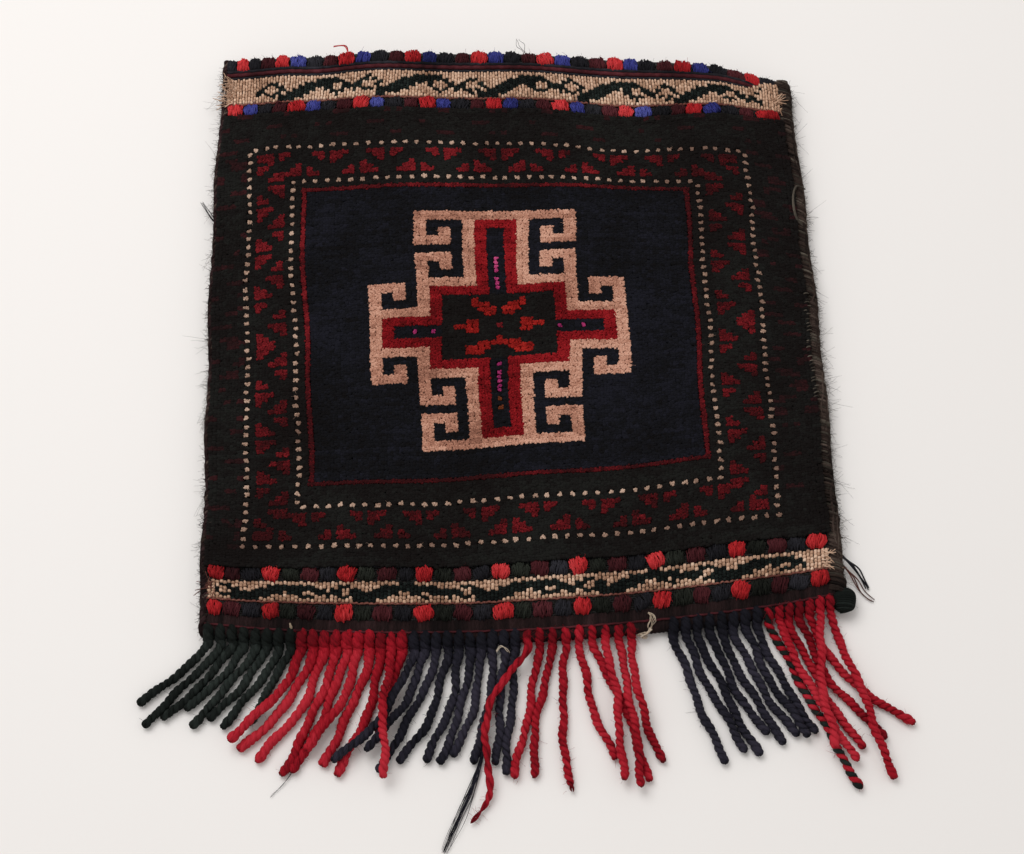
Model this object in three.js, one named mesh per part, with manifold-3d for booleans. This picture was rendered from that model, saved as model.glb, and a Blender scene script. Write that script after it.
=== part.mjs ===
// A small hand-knotted wool bag, empty, lying flat with its pile face up: one woven strip folded at the base,
// overcast sides, four rows of wrapped knots across the face and a twisted wool fringe along the fold.
// Millimetres. +X is to the right across the face, +Y runs from the base fold to the mouth and +Z is up.
// The origin is on the floor, under the middle of the back.
import * as THREE from 'three';
import { mergeVertices } from 'three/addons/utils/BufferGeometryUtils.js';
import Module from 'manifold-3d';

const wasm = await Module();
wasm.setup();

// Knots of the pile, counted from the middle of the medallion
const knotWidth = 3.83;
const knotHeight = 3.125;
const columnsLeft = 47;
const columnsRight = 51;
const rowsBelow = 52;
const rowsAbove = 54;

// Depths of the bands across the face, from the base fold to the mouth
const hemDepth = 13;
const knotRowDepth = 10;
const lowerBandDepth = 14;
const upperBandDepth = 27;

// Thicknesses
const backThickness = 3;
const groundThickness = 2.8;
const pileHeight = 4.2;
const motifRelief = 0.9;
const knotRowHeight = 5.6;
const bindingThickness = 2.3;

// How far each overcast binding reaches in over the face
const leftBindingReach = 2.3;
const rightBindingReach = 6.2;

// How the empty bag lies: hollow between front and back, and the mouth's middle drawn back as it gapes
const foldGap = 1;
const pocketGap = 8;
const mouthGape = 6;
const mouthDrop = 8;
const sideSwell = 2.5;
const droopRun = 52;
const liftRun = 34;

// Pull of the weave out of square, at the base, the three quarter points and the mouth, and the lean of the field
// at its left, where it is strongest and how far it spreads, in half widths of the cloth
const slants = [-4, -9, -4, 6, 12.5];
const arches = [-13, -8, 4, 10, 10];
const fieldSkew = 4.5;
const skewMiddle = -0.62;
const skewSpread = 0.32;

// Wrapped knots and overcast stitches
const fineKnotWidth = 11.4;
const bigKnotWidth = 11.7;
const stitchPitch = 24;
const cornerRoll = 0.8;

// Fringe
const cordDiameter = 5;
const rootGap = 0.7;
const cordGap = 0.4;
const cordStep = 14;

// Gap that touching pieces keep
const clearance = 0.3;

// Sizes that follow from those above
const pileWidth = (columnsLeft + 1 + columnsRight) * knotWidth;
const clothWidth = leftBindingReach + pileWidth + rightBindingReach;
const halfWidth = clothWidth / 2;
const pileLeft = leftBindingReach - halfWidth;
const pileRight = halfWidth - rightBindingReach;
const medallionAcross = pileLeft + (columnsLeft + 0.5) * knotWidth;

const baseRowMiddle = hemDepth + knotRowDepth / 2;
const lowerBandBase = hemDepth + knotRowDepth;
const lowerRowMiddle = lowerBandBase + lowerBandDepth + knotRowDepth / 2;
const pileBase = lowerRowMiddle + knotRowDepth / 2;
const pileTop = pileBase + (rowsBelow + 1 + rowsAbove) * knotHeight;
const medallionUp = pileBase + (rowsBelow + 0.5) * knotHeight;
const upperRowMiddle = pileTop + knotRowDepth / 2;
const mouthRowMiddle = pileTop + knotRowDepth + upperBandDepth + knotRowDepth / 2;
const bagLength = mouthRowMiddle + knotRowDepth / 2;

const foldHeight = backThickness + foldGap + groundThickness;
const foldMiddle = foldHeight / 2;
const sideLift = bindingThickness + clearance;
const pileShoulder = knotWidth;

// Colours of the wools
const wool = {
  navy: 0x14161f,
  binding: 0x322624,
  brightRed: 0xc83a32,
  madder: 0x9c1624,
  blueBlack: 0x23232f,
  greenBlack: 0x171f1d,
};

const ramp = (x, low, high) => THREE.MathUtils.smoothstep(x, low, high);

const pulls = new THREE.SplineCurve(slants.map((slant, i) => new THREE.Vector2(slant, arches[i])));

// Place on the floor of a point of the cloth, a millimetres across from the middle and b up from the fold
function plan(a, b) {
  const u = a / halfWidth;
  const f = b / bagLength;
  const pull = pulls.getPoint(f);
  const lean = fieldSkew * Math.sin(2 * Math.PI * f) * Math.exp(-(((u - skewMiddle) / skewSpread) ** 2));
  const x = a + sideSwell * 4 * f * (1 - f) * u + lean;
  return [x, b - bagLength / 2 - mouthDrop * ramp(f, 0.75, 1) - pull.x * u - pull.y * u * u];
}

// Underside of the back: flat on the floor, and lifted at the sides by the bindings under it
function backLift(a) {
  return sideLift * (ramp(-a, -pileLeft - liftRun, -pileLeft) + ramp(a, pileRight - liftRun, pileRight));
}

// Hollow between back and front: level over the field, drooping to the seams and gaping at the mouth
function hollow(a, b) {
  const droop = ramp(halfWidth - Math.abs(a), 0, droopRun);
  const pocket = pocketGap * ramp(b, foldMiddle, pileBase);
  const gape = mouthGape * ramp(b, pileTop - knotRowDepth, bagLength);
  return foldGap + (pocket + gape) * droop;
}

// Thickness of the front: the woven ground, and the pile where there is pile
function frontThickness(a, b) {
  const across = ramp(a, pileLeft, pileLeft + pileShoulder) * ramp(-a, -pileRight, pileShoulder - pileRight);
  const along = ramp(b, pileBase, pileBase + pileShoulder) * ramp(-b, -pileTop, pileShoulder - pileTop);
  return groundThickness + pileHeight * across * along;
}

const frontUnder = (a, b) => backLift(a) + backThickness + hollow(a, b);
const frontTop = (a, b) => frontUnder(a, b) + frontThickness(a, b);

// A point at height h over the face of the front
const onFace = (a, b, h) => [...plan(a, b), frontTop(a, b) + h];

const spread = (from, to, count) => Array.from({ length: count + 1 }, (_, i) => from + ((to - from) * i) / count);

// Closed body through rings of points. Each end is closed by a strip that pairs the ring's two halves
function loft(rings) {
  const size = rings[0].length;
  const index = [];
  const quad = (a, b, c, d) => index.push(a, b, c, a, c, d);
  for (let r = 0; r + 1 < rings.length; r += 1) {
    for (let i = 0; i < size; i += 1) {
      const next = (i + 1) % size;
      quad(r * size + i, (r + 1) * size + i, (r + 1) * size + next, r * size + next);
    }
  }
  const last = (rings.length - 1) * size;
  for (let i = 0; i + 1 < size / 2; i += 1) {
    quad(i, i + 1, size - 2 - i, size - 1 - i);
    quad(last + i, last + size - 1 - i, last + size - 2 - i, last + i + 1);
  }
  const geometry = new THREE.BufferGeometry();
  geometry.setAttribute('position', new THREE.Float32BufferAttribute(rings.flat(2), 3));
  geometry.setIndex(index);
  return facingOut(geometry);
}

// Turns a closed geometry's triangles over if its volume comes out negative
function facingOut(geometry) {
  const corners = [new THREE.Vector3(), new THREE.Vector3(), new THREE.Vector3()];
  const position = geometry.getAttribute('position');
  const index = geometry.getIndex().array;
  let volume = 0;
  for (let t = 0; t < index.length; t += 3) {
    corners.forEach((corner, k) => corner.fromBufferAttribute(position, index[t + k]));
    volume += corners[0].dot(corners[1].clone().cross(corners[2]));
  }
  if (volume < 0) index.reverse();
  return geometry;
}

// Geometry to solid and back, for joining
function solid(geometry) {
  const bare = geometry.clone();
  bare.deleteAttribute('normal');
  bare.deleteAttribute('uv');
  const merged = mergeVertices(bare, 1e-4);
  const vertProperties = new Float32Array(merged.getAttribute('position').array);
  const triVerts = new Uint32Array(merged.getIndex().array);
  return new wasm.Manifold(new wasm.Mesh({ numProp: 3, vertProperties, triVerts }));
}

function fromSolid(body) {
  const mesh = body.getMesh();
  const geometry = new THREE.BufferGeometry();
  geometry.setAttribute('position', new THREE.Float32BufferAttribute(mesh.vertProperties, 3));
  geometry.setIndex(Array.from(mesh.triVerts));
  return geometry;
}

// The woven strip: back, fold and front as one sheet, open at the mouth
function wovenStrip() {
  const backStations = [bagLength, 0.75 * bagLength, bagLength / 2, bagLength / 4, lowerBandBase];
  const foldTurns = spread(0, Math.PI, 6);
  const frontStations = [
    ...spread(hemDepth / 2, pileBase, 8),
    pileBase + pileShoulder / 2,
    ...spread(pileBase + pileShoulder, pileTop - knotRowDepth, 5),
    pileTop - pileShoulder,
    pileTop - pileShoulder / 2,
    ...spread(pileTop, bagLength, 5),
  ];
  const columns = [
    ...spread(-halfWidth, pileLeft, 2),
    pileLeft + pileShoulder / 2,
    ...spread(pileLeft + pileShoulder, droopRun - halfWidth, 6),
    ...spread(droopRun - halfWidth, halfWidth - droopRun, 8).slice(1, -1),
    ...spread(halfWidth - droopRun, pileRight - pileShoulder, 6),
    pileRight - pileShoulder / 2,
    ...spread(pileRight, halfWidth, 2),
  ];
  const rings = columns.map((a) => {
    const lift = backLift(a);
    const around = (radius, height, turn) => [
      ...plan(a, foldMiddle - radius * Math.sin(turn)),
      height - radius * Math.cos(turn),
    ];
    const outer = [
      ...backStations.map((b) => [...plan(a, b), lift]),
      ...foldTurns.map((turn) => around(foldHeight / 2, lift + foldHeight / 2, turn)),
      ...frontStations.map((b) => onFace(a, b, 0)),
    ];
    const inner = [
      ...backStations.map((b) => [...plan(a, b), lift + backThickness]),
      ...foldTurns.map((turn) => around(foldGap / 2, lift + backThickness + foldGap / 2, turn)),
      ...frontStations.map((b) => [...plan(a, b), frontUnder(a, b)]),
    ];
    return [...outer, ...inner.reverse()];
  });
  return loft(rings);
}

// Lays a flat geometry, in knots from the medallion's middle, on the face of the pile
function drape(geometry) {
  const position = geometry.getAttribute('position');
  for (let i = 0; i < position.count; i += 1) {
    const a = medallionAcross + position.getX(i) * knotWidth;
    const b = medallionUp + position.getY(i) * knotHeight;
    position.setXYZ(i, ...onFace(a, b, position.getZ(i)));
  }
  return geometry;
}

// A raised bar of pile from one corner to another, in knots, in short lengths that follow the face
function raisedBar(left, low, right, high) {
  const lengthInKnots = 14;
  const across = Math.ceil((right - left) / lengthInKnots);
  const along = Math.ceil((high - low) / lengthInKnots);
  const bar = new THREE.BoxGeometry(right - left, high - low, 2 * motifRelief, across, along, 1);
  bar.translate((left + right) / 2, (low + high) / 2, 0);
  return drape(bar);
}

// A frame of four bars one knot wide, through the given columns and rows
function raisedFrame(left, low, right, high) {
  return [
    raisedBar(left - 0.5, low - 0.5, right + 0.5, low + 0.5),
    raisedBar(left - 0.5, high - 0.5, right + 0.5, high + 0.5),
    raisedBar(left - 0.5, low, left + 0.5, high),
    raisedBar(right - 0.5, low, right + 0.5, high),
  ];
}

// A raised triangle, its base on one side of the border and its tip in the border's middle
function raisedTriangle(points) {
  const shape = new THREE.Shape(points.map(([column, row]) => new THREE.Vector2(column, row)));
  const prism = new THREE.ExtrudeGeometry(shape, { depth: 2 * motifRelief, bevelEnabled: false });
  prism.translate(0, 0, -motifRelief);
  return drape(prism);
}

// The hooked medallion: bars of one quarter, as left, low, right and high in knots, mirrored to all four
function medallion() {
  const quarter = [
    [-1, 26, 13.5, 28],
    [11.5, 20, 13.5, 27],
    [7.5, 20, 12.5, 22],
    [7.5, 21, 9.5, 24],
    [3.5, 10, 5.5, 27],
    [4.5, 10, 12.5, 12],
    [11.5, 3, 13.5, 18],
    [7.5, 16, 12.5, 18],
    [7.5, 14, 9.5, 17],
    [12.5, 3, 20.5, 5],
    [19.5, -1, 21.5, 11],
    [15.5, 9, 20.5, 11],
    [15.5, 7, 17.5, 10],
  ];
  const mirrored = (bar, x, y) => raisedBar(
    Math.min(x * bar[0], x * bar[2]),
    Math.min(y * bar[1], y * bar[3]),
    Math.max(x * bar[0], x * bar[2]),
    Math.max(y * bar[1], y * bar[3]),
  );
  const ways = [[1, 1], [-1, 1], [1, -1], [-1, -1]];
  return ways.flatMap(([x, y]) => quarter.map((bar) => mirrored(bar, x, y)));
}

// Places of the guard lines, in columns and rows from the medallion's middle
const outerGuard = { left: -42, right: 44, low: -48, high: 45 };
const innerGuard = { left: -34, right: 35, low: -39, high: 36 };
const fieldLine = { left: -32, right: 33, low: -34, high: 34 };

// Triangles between the guards: one file stands on the outer guard, the other hangs between them from the inner
function borderTriangles() {
  const halfBase = 3;
  const baseDepth = 1.5;
  const tipDepth = 4.4;
  const across = { from: outerGuard.left, to: outerGuard.right, count: 9 };
  const along = { from: innerGuard.low, to: innerGuard.high, count: 7 };
  const sides = [
    { ...across, depth: outerGuard.high - innerGuard.high, at: (s, d) => [s, outerGuard.high - d] },
    { ...across, depth: innerGuard.low - outerGuard.low, at: (s, d) => [s, outerGuard.low + d] },
    { ...along, depth: innerGuard.left - outerGuard.left, at: (s, d) => [outerGuard.left + d, s] },
    { ...along, depth: outerGuard.right - innerGuard.right, at: (s, d) => [outerGuard.right - d, s] },
  ];
  return sides.flatMap(({ from, to, count, depth, at }) => {
    const period = (to - from) / count;
    const flip = (d, inner) => (inner ? depth - d : d);
    const triangle = (s, inner) => raisedTriangle([
      at(s - halfBase, flip(baseDepth, inner)),
      at(s + halfBase, flip(baseDepth, inner)),
      at(s, flip(tipDepth, inner)),
    ]);
    const outer = spread(from + period / 2, to - period / 2, count - 1).map((s) => triangle(s, false));
    const inner = spread(from + period, to - period, count - 2).map((s) => triangle(s, true));
    return [...outer, ...inner];
  });
}

function bagCloth() {
  const motifs = [
    ...medallion(),
    ...raisedFrame(fieldLine.left, fieldLine.low, fieldLine.right, fieldLine.high),
    ...raisedFrame(innerGuard.left, innerGuard.low, innerGuard.right, innerGuard.high),
    ...raisedFrame(outerGuard.left, outerGuard.low, outerGuard.right, outerGuard.high),
    ...borderTriangles(),
  ];
  return fromSolid(motifs.reduce((cloth, motif) => cloth.add(solid(motif)), solid(wovenStrip())));
}

// A row of wrapped knots lying across the face, plump on each knot and drawn in between
function knotRow(middle, wantedWidth) {
  const drawnIn = 0.62;
  const outline = [[-0.5, 0], [-0.46, 0.6], [-0.2, 1], [0.2, 1], [0.46, 0.6], [0.5, 0]];
  const left = pileLeft + clearance;
  const right = pileRight - clearance;
  const knots = Math.round((right - left) / wantedWidth);
  const depth = knotRowDepth - 2 * clearance;
  const rings = spread(left, right, 2 * knots).map((a, i) => {
    const plump = i % 2 ? 1 : drawnIn;
    return outline.map(([along, up]) => onFace(a, middle + along * depth, clearance + up * knotRowHeight * plump));
  });
  return loft(rings);
}

// Overcasting around one side seam, over the front, round the edge and under the back
function sideBinding(side, reach, roll) {
  const tucked = 0.65;
  const stitches = Math.round((bagLength - foldMiddle) / stitchPitch);
  const rings = spread(foldMiddle, bagLength, 2 * stitches).map((b, i) => {
    const yarn = bindingThickness * (i % 2 ? 1 : tucked);
    const swell = yarn * (1 + roll * Math.exp(-(((b - foldMiddle) / stitchPitch) ** 2)));
    const edge = halfWidth + clearance;
    const middle = backLift(side * halfWidth) + foldHeight / 2;
    const place = (out, z) => {
      const [x, y] = plan(side * Math.min(out, halfWidth), b);
      return [x + side * Math.max(0, out - halfWidth), y, z];
    };
    const over = (out, h) => place(out, frontTop(side * Math.min(out, halfWidth), b) + clearance + h);
    const under = (out, h) => place(out, backLift(side * Math.min(out, halfWidth)) - clearance - h);
    const outer = [
      over(halfWidth - reach, swell),
      over(halfWidth - 0.4 * reach, swell),
      over(edge + 0.7 * swell, 0.5 * swell),
      place(edge + swell, middle),
      under(edge + 0.7 * swell, 0.5 * yarn),
      under(halfWidth - 0.4 * reach, yarn),
      under(halfWidth - reach, yarn),
    ];
    const inner = [
      over(halfWidth - reach, 0),
      over(halfWidth - 0.4 * reach, 0),
      over(edge, 0),
      place(edge, middle),
      under(edge, 0),
      under(halfWidth - 0.4 * reach, 0),
      under(halfWidth - reach, 0),
    ];
    return [...outer, ...inner.reverse()];
  });
  return loft(rings);
}

// Fringe cords in the order they fell, so that each lies over those before it: wool, root across the fold,
// and the points it passes, as steps across and along from its root
const cordRoutes = [
  ['greenBlack', -190, [-14, -19], [-41, -41]],
  ['greenBlack', -183, [-16, -24], [-45, -54]],
  ['greenBlack', -176, [-15, -25], [-40, -49]],
  ['greenBlack', -169, [-14, -24], [-33, -43]],
  ['greenBlack', -162, [-15, -27], [-38, -53]],
  ['greenBlack', -155, [-14, -27], [-34, -48]],
  ['greenBlack', -148, [-14, -29], [-33, -53]],
  ['greenBlack', -141, [-12, -29], [-25, -51]],
  ['madder', -134, [-15, -34], [-42, -61]],
  ['madder', -127.2, [-15, -37], [-43, -65]],
  ['madder', -120.4, [-13, -39], [-40, -72]],
  ['madder', -113.6, [-12, -41], [-31, -80]],
  ['madder', -106.8, [-12, -41], [-31, -78]],
  ['madder', -100, [-10, -36], [-30, -66]],
  ['madder', -93.2, [-8, -33], [-28, -74]],
  ['madder', -86.4, [-6, -37], [-26, -80]],
  ['madder', -73.6, [-8, -31], [-14, -59]],
  ['blueBlack', -66.4, [-18, -44], [-48, -72]],
  ['blueBlack', -59.6, [-13, -37], [-35, -66]],
  ['blueBlack', -52.8, [-12, -37], [-36, -77]],
  ['blueBlack', -46, [-10, -42], [-30, -72]],
  ['blueBlack', -39.2, [-7, -42], [-22, -72]],
  ['blueBlack', -32.4, [-6, -39], [-20, -73]],
  ['blueBlack', -25.6, [-5, -37], [-18, -69]],
  ['blueBlack', -18.8, [-4, -42], [-14, -74]],
  ['blueBlack', -12, [-3, -38], [-7, -75]],
  ['blueBlack', -5.2, [-4, -43], [-8, -81]],
  ['madder', -80, [-4, -38], [-4, -83]],
  ['madder', 9.5, [-8, -43], [-18, -84]],
  ['madder', 17.5, [-10, -42], [-15, -84]],
  ['madder', 2, [-26, -47], [-24, -89], [-37, -109]],
  ['madder', 25.5, [-4, -45], [-1, -93]],
  ['madder', 33.5, [6, -41], [18, -75]],
  ['madder', 41.5, [16, -41], [30, -89]],
  ['madder', 49.5, [5, -46], [6, -89]],
  ['madder', 57.5, [5, -45], [9, -94]],
  ['madder', 65, [3, -46], [16, -79]],
  ['blueBlack', 91, [11, -42], [25, -83]],
  ['blueBlack', 98.3, [13, -40], [31, -77]],
  ['blueBlack', 105.6, [14, -42], [31, -80]],
  ['blueBlack', 112.9, [14, -42], [29, -68]],
  ['blueBlack', 120.2, [14, -42], [33, -75]],
  ['blueBlack', 127.5, [14, -41], [33, -71]],
  ['blueBlack', 134.8, [14, -41], [32, -73]],
  ['blueBlack', 142.1, [13, -41], [30, -71]],
  ['madder', 149.4, [20, -51], [45, -106]],
  ['madder', 155.6, [15, -47], [38, -91]],
  ['madder', 161.8, [16, -47], [36, -84]],
  ['madder', 168, [17, -46], [46, -79]],
  ['madder', 174.2, [19, -42], [56, -71]],
  ['madder', 180.4, [-4, -46], [0, -88]],
  ['madder', 186.6, [12, -49], [27, -106]],
];

// Level route of a cord over the floor, straight out of the fold first
function levelRoute([, rootAcross, ...steps]) {
  const [x, y] = plan(rootAcross, 0);
  const root = new THREE.Vector2(x, y - rootGap);
  const straight = new THREE.Vector2(x, y - rootGap - cordDiameter);
  const passed = steps.map(([across, along]) => new THREE.Vector2(x + across, y + along));
  const curve = new THREE.SplineCurve([straight, ...passed]);
  const stations = Math.round(curve.getLength() / cordStep);
  return [root, ...curve.getSpacedPoints(stations)];
}

// Lays the cords one after another: each rests on the floor and climbs over what lies under it
function layCords(routes) {
  const between = 5;
  const reach = cordDiameter + cordGap;
  const laid = [];
  const heightOver = (p) => laid.reduce((height, q) => {
    const apart = Math.hypot(p.x - q.x, p.y - q.y);
    return apart < reach ? Math.max(height, q.z + Math.sqrt(reach * reach - apart * apart)) : height;
  }, cordDiameter / 2);
  return routes.map((route) => {
    const spans = route.slice(1).map((end, i) => (
      Math.max(...spread(0, 1, between).map((t) => heightOver(route[i].clone().lerp(end, t))))
    ));
    const points = route.map((p, i) => {
      const before = spans[Math.max(0, i - 1)];
      const after = spans[Math.min(spans.length - 1, i)];
      return new THREE.Vector3(p.x, p.y, Math.max(before, after));
    });
    points[1].z = Math.max(points[1].z, backLift(points[1].x) + foldMiddle);
    points[0].z = points[1].z;
    points.slice(1).forEach((end, i) => {
      laid.push(...spread(0, 1, between).map((t) => points[i].clone().lerp(end, t)));
    });
    return points;
  });
}

function fringeCord(points) {
  const corners = spread(0, 2 * Math.PI, 8).slice(0, -1);
  const section = new THREE.Shape(corners.map((turn) => new THREE.Vector2(
    (cordDiameter / 2) * Math.cos(turn),
    (cordDiameter / 2) * Math.sin(turn),
  )));
  const extrudePath = new THREE.CatmullRomCurve3(points, false, 'centripetal');
  return new THREE.ExtrudeGeometry(section, { steps: points.length - 1, extrudePath, bevelEnabled: false });
}

const bag = new THREE.Group();

function addPiece(name, geometry, color) {
  const mesh = new THREE.Mesh(geometry, new THREE.MeshStandardMaterial({ color, roughness: 0.95, metalness: 0 }));
  mesh.name = name;
  bag.add(mesh);
}

addPiece('bag_cloth', bagCloth(), wool.navy);
addPiece('left_side_binding', sideBinding(-1, leftBindingReach, 0), wool.binding);
addPiece('right_side_binding', sideBinding(1, rightBindingReach, cornerRoll), wool.binding);
addPiece('mouth_knot_row', knotRow(mouthRowMiddle, fineKnotWidth), wool.brightRed);
addPiece('upper_knot_row', knotRow(upperRowMiddle, fineKnotWidth), wool.brightRed);
addPiece('lower_knot_row', knotRow(lowerRowMiddle, bigKnotWidth), wool.brightRed);
addPiece('base_knot_row', knotRow(baseRowMiddle, bigKnotWidth), wool.brightRed);
layCords(cordRoutes.map(levelRoute)).forEach((points, i) => {
  const [colour] = cordRoutes[i];
  addPiece(`fringe_cord_${String(i + 1).padStart(2, '0')}`, fringeCord(points), wool[colour]);
});

export default bag;
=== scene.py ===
import bpy
import numpy as np
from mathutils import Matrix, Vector


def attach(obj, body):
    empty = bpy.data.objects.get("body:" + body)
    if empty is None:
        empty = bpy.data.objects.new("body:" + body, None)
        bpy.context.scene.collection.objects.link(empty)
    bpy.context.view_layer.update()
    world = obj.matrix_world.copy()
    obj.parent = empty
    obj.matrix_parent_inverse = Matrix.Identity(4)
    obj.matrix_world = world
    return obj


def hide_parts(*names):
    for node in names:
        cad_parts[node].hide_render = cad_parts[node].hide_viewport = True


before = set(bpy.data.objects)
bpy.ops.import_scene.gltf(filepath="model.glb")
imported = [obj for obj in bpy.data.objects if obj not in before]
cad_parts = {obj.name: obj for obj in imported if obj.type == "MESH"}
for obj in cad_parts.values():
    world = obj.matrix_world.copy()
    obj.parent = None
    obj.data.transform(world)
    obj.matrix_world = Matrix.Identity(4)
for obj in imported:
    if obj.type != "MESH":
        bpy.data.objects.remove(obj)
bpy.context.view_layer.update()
rng = np.random.default_rng(11)  # one seeded source, so that each run gives the same bag
fullTurn = 6.28  # end of the range that a wave's random start is drawn from

bag = {
    "knotWide": 3.83,  # one knot of the pile
    "knotTall": 3.125,
    "knotsLeft": 47,  # knots each way from the medallion's middle
    "knotsRight": 51,
    "knotsBelow": 52,
    "knotsAbove": 54,
    "hem": 13.0,  # depths of the bands, from the fold up
    "row": 10.0,
    "lowerBand": 14.0,
    "upperBand": 27.0,
    "back": 3.0,  # thicknesses
    "ground": 2.8,
    "leftBinding": 2.3,
    "rightBinding": 6.2,
    "foldGap": 1.0,  # how the empty bag lies
    "pocket": 8.0,
    "gape": 6.0,
    "mouthDrop": 8.0,
    "sideSwell": 2.5,
    "droopRun": 52.0,
    "liftRun": 34.0,
    "sideLift": 2.6,
    # pull of the weave out of square, at the base, the quarters and the mouth, where the left corner stands
    # a little above the solid's
    "slants": [-4, -9, -4, 6, 14.5],
    "arches": [-13, -8, 4, 10, 8],
    # lean of the field at its left: how far, where, and its spread in half widths of the cloth
    "skew": (4.5, -0.62, 0.32),
    # the upper right corner is drawn up: how far, from where across, and its middle and spread up the bag
    "curl": (9.0, 0.4, 0.89, 0.09),
    # the cloth beside that corner and at the mouth's left sags: how far, middle and spread across, then up
    "sags": [(4.0, 0.36, 0.2, 0.84, 0.09), (4.8, -0.68, 0.17, 1, 0.1)],
    "wobble": 0.7,  # knots tied by hand stray from their line
    "calmHem": (10, 50),  # where up from the fold the straying sets in
}

pileWide = (bag["knotsLeft"] + 1 + bag["knotsRight"]) * bag["knotWide"]
halfWide = (bag["leftBinding"] + pileWide + bag["rightBinding"]) / 2
pileLeft = bag["leftBinding"] - halfWide
pileRight = halfWide - bag["rightBinding"]
midAcross = pileLeft + (bag["knotsLeft"] + 0.5) * bag["knotWide"]
baseRow = bag["hem"] + bag["row"] / 2
lowerBandBase = bag["hem"] + bag["row"]
lowerRow = lowerBandBase + bag["lowerBand"] + bag["row"] / 2
pileBase = lowerRow + bag["row"] / 2
pileTop = pileBase + (bag["knotsBelow"] + 1 + bag["knotsAbove"]) * bag["knotTall"]
midUp = pileBase + (bag["knotsBelow"] + 0.5) * bag["knotTall"]
upperRow = pileTop + bag["row"] / 2
upperBandBase = pileTop + bag["row"]
mouthRow = upperBandBase + bag["upperBand"] + bag["row"] / 2
bagLength = mouthRow + bag["row"] / 2
foldHeight = bag["back"] + bag["foldGap"] + bag["ground"]
foldMiddle = foldHeight / 2
pulls = np.stack([bag["slants"], bag["arches"]], axis=1)


# Smooth step: 0 below low, 1 above high, and 3t² - 2t³ between them
def ramp(x, low, high):
    t = np.clip((x - low) / (high - low), 0, 1)
    return t * t * (3 - 2 * t)


# Bell: 1 at the middle, and down to a third one spread away from it
def bell(x, middle, spread):
    return np.exp(-(((x - middle) / spread) ** 2))


# Curve through points with even parameter t: each span is a cubic, with end slopes of half the step from
# the point before to the point after
def throughPoints(knots, t):
    last = knots.shape[-2] - 1
    span = np.minimum((t * last).astype(int), last - 1)
    w = (t * last - span)[:, None]
    before, start = knots[..., np.maximum(span - 1, 0), :], knots[..., span, :]
    end, after = knots[..., span + 1, :], knots[..., np.minimum(span + 2, last), :]
    out, into = (end - before) / 2, (after - start) / 2
    bend = (2 * start - 2 * end + out + into) * w**3 + (3 * end - 3 * start - 2 * out - into) * w**2
    return bend + out * w + start


# Place on the floor: x is a, swelled at mid height and leaning at the field's left, and y is b, less the
# mouth's drop, a slant in step with a and an arch with the square of a. The curl, the sags and a small
# wobble are bells and slow waves of the worn cloth's own
def plan(a, b):
    u = a / halfWide
    f = b / bagLength
    pull = throughPoints(pulls, np.ravel(f)).reshape(*np.shape(f), 2)
    skew, *skewBell = bag["skew"]
    lean = skew * np.sin(2 * np.pi * f) * bell(u, *skewBell)
    up = b - bagLength / 2 - bag["mouthDrop"] * ramp(f, 0.75, 1)
    curl, curlFrom, *curlBell = bag["curl"]
    up = up + curl * ramp(u, curlFrom, 1) * bell(f, *curlBell)
    for sag, across, acrossSpread, high, highSpread in bag["sags"]:
        up = up - sag * bell(u, across, acrossSpread) * bell(f, high, highSpread)
    stray = bag["wobble"] * ramp(b, *bag["calmHem"])
    x = a + bag["sideSwell"] * 4 * f * (1 - f) * u + lean + stray * np.sin(b / 15 + 1.3 * np.sin(a / 45))
    y = up - pull[..., 0] * u - pull[..., 1] * u * u + stray * np.sin(a / 17 + 1.1 * np.sin(b / 60))
    return x, y


# Underside of the back: on the floor, and lifted by the bindings at the two sides
def backLift(a):
    left = ramp(-a, -pileLeft - bag["liftRun"], -pileLeft)
    return bag["sideLift"] * (left + ramp(a, pileRight - bag["liftRun"], pileRight))


# Hollow between back and front: level over the field, closing to the seams, gaping at the mouth
def hollow(a, b):
    droop = ramp(halfWide - np.abs(a), 0, bag["droopRun"])
    pocket = bag["pocket"] * ramp(b, foldMiddle, pileBase)
    return bag["foldGap"] + (pocket + bag["gape"] * ramp(b, pileTop - bag["row"], bagLength)) * droop


# Slack of old cloth: two slow waves, under a millimetre, that die out at the fold and the seams
def slack(a, b):
    calm = ramp(halfWide - np.abs(a), 0, 40) * ramp(b, 10, 60)
    return calm * (0.45 * np.sin(a / 31 + b / 74 + 0.6) + 0.35 * np.sin(b / 27 - a / 90))


def groundTop(a, b):
    return backLift(a) + bag["back"] + hollow(a, b) + bag["ground"] + slack(a, b)


# Coordinates: the numbers of each axis, spread over one another and set side by side
def coords(*axes):
    return np.stack(np.broadcast_arrays(*axes), axis=-1)


# A point of the face: its place on the floor, h over the woven ground
def onCloth(points):
    a, b, h = points[..., 0], points[..., 1], points[..., 2]
    return coords(*plan(a, b), groundTop(a, b) + h)


# Lengths of the steps along a path
def stepLengths(paths):
    return np.linalg.norm(np.diff(paths, axis=-2), axis=-1)


# Points evenly spaced along a path: lengths summed from a fine walk, then read off at equal steps
def evenly(path, count):
    walked = np.append(0, stepLengths(path).cumsum())
    at = np.linspace(0, walked[-1], count)
    return np.stack([np.interp(at, walked, path[:, k]) for k in range(path.shape[1])], axis=1)


# Two ways at each point of a path: across it, square to ref, and the third, square to path and across
def waysAcross(paths, ref):
    along = np.gradient(paths, axis=-2)
    along /= np.linalg.norm(along, axis=-1, keepdims=True)
    across = np.cross(along, np.asarray(ref, float))
    across /= np.linalg.norm(across, axis=-1, keepdims=True)
    return across, np.cross(across, along)


# Faces between rings of corners and the next ones along
def ringQuads(near, far):
    return np.stack([near, far, np.roll(far, -1, -1), np.roll(near, -1, -1)], axis=-1).reshape(-1, 4)


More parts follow.
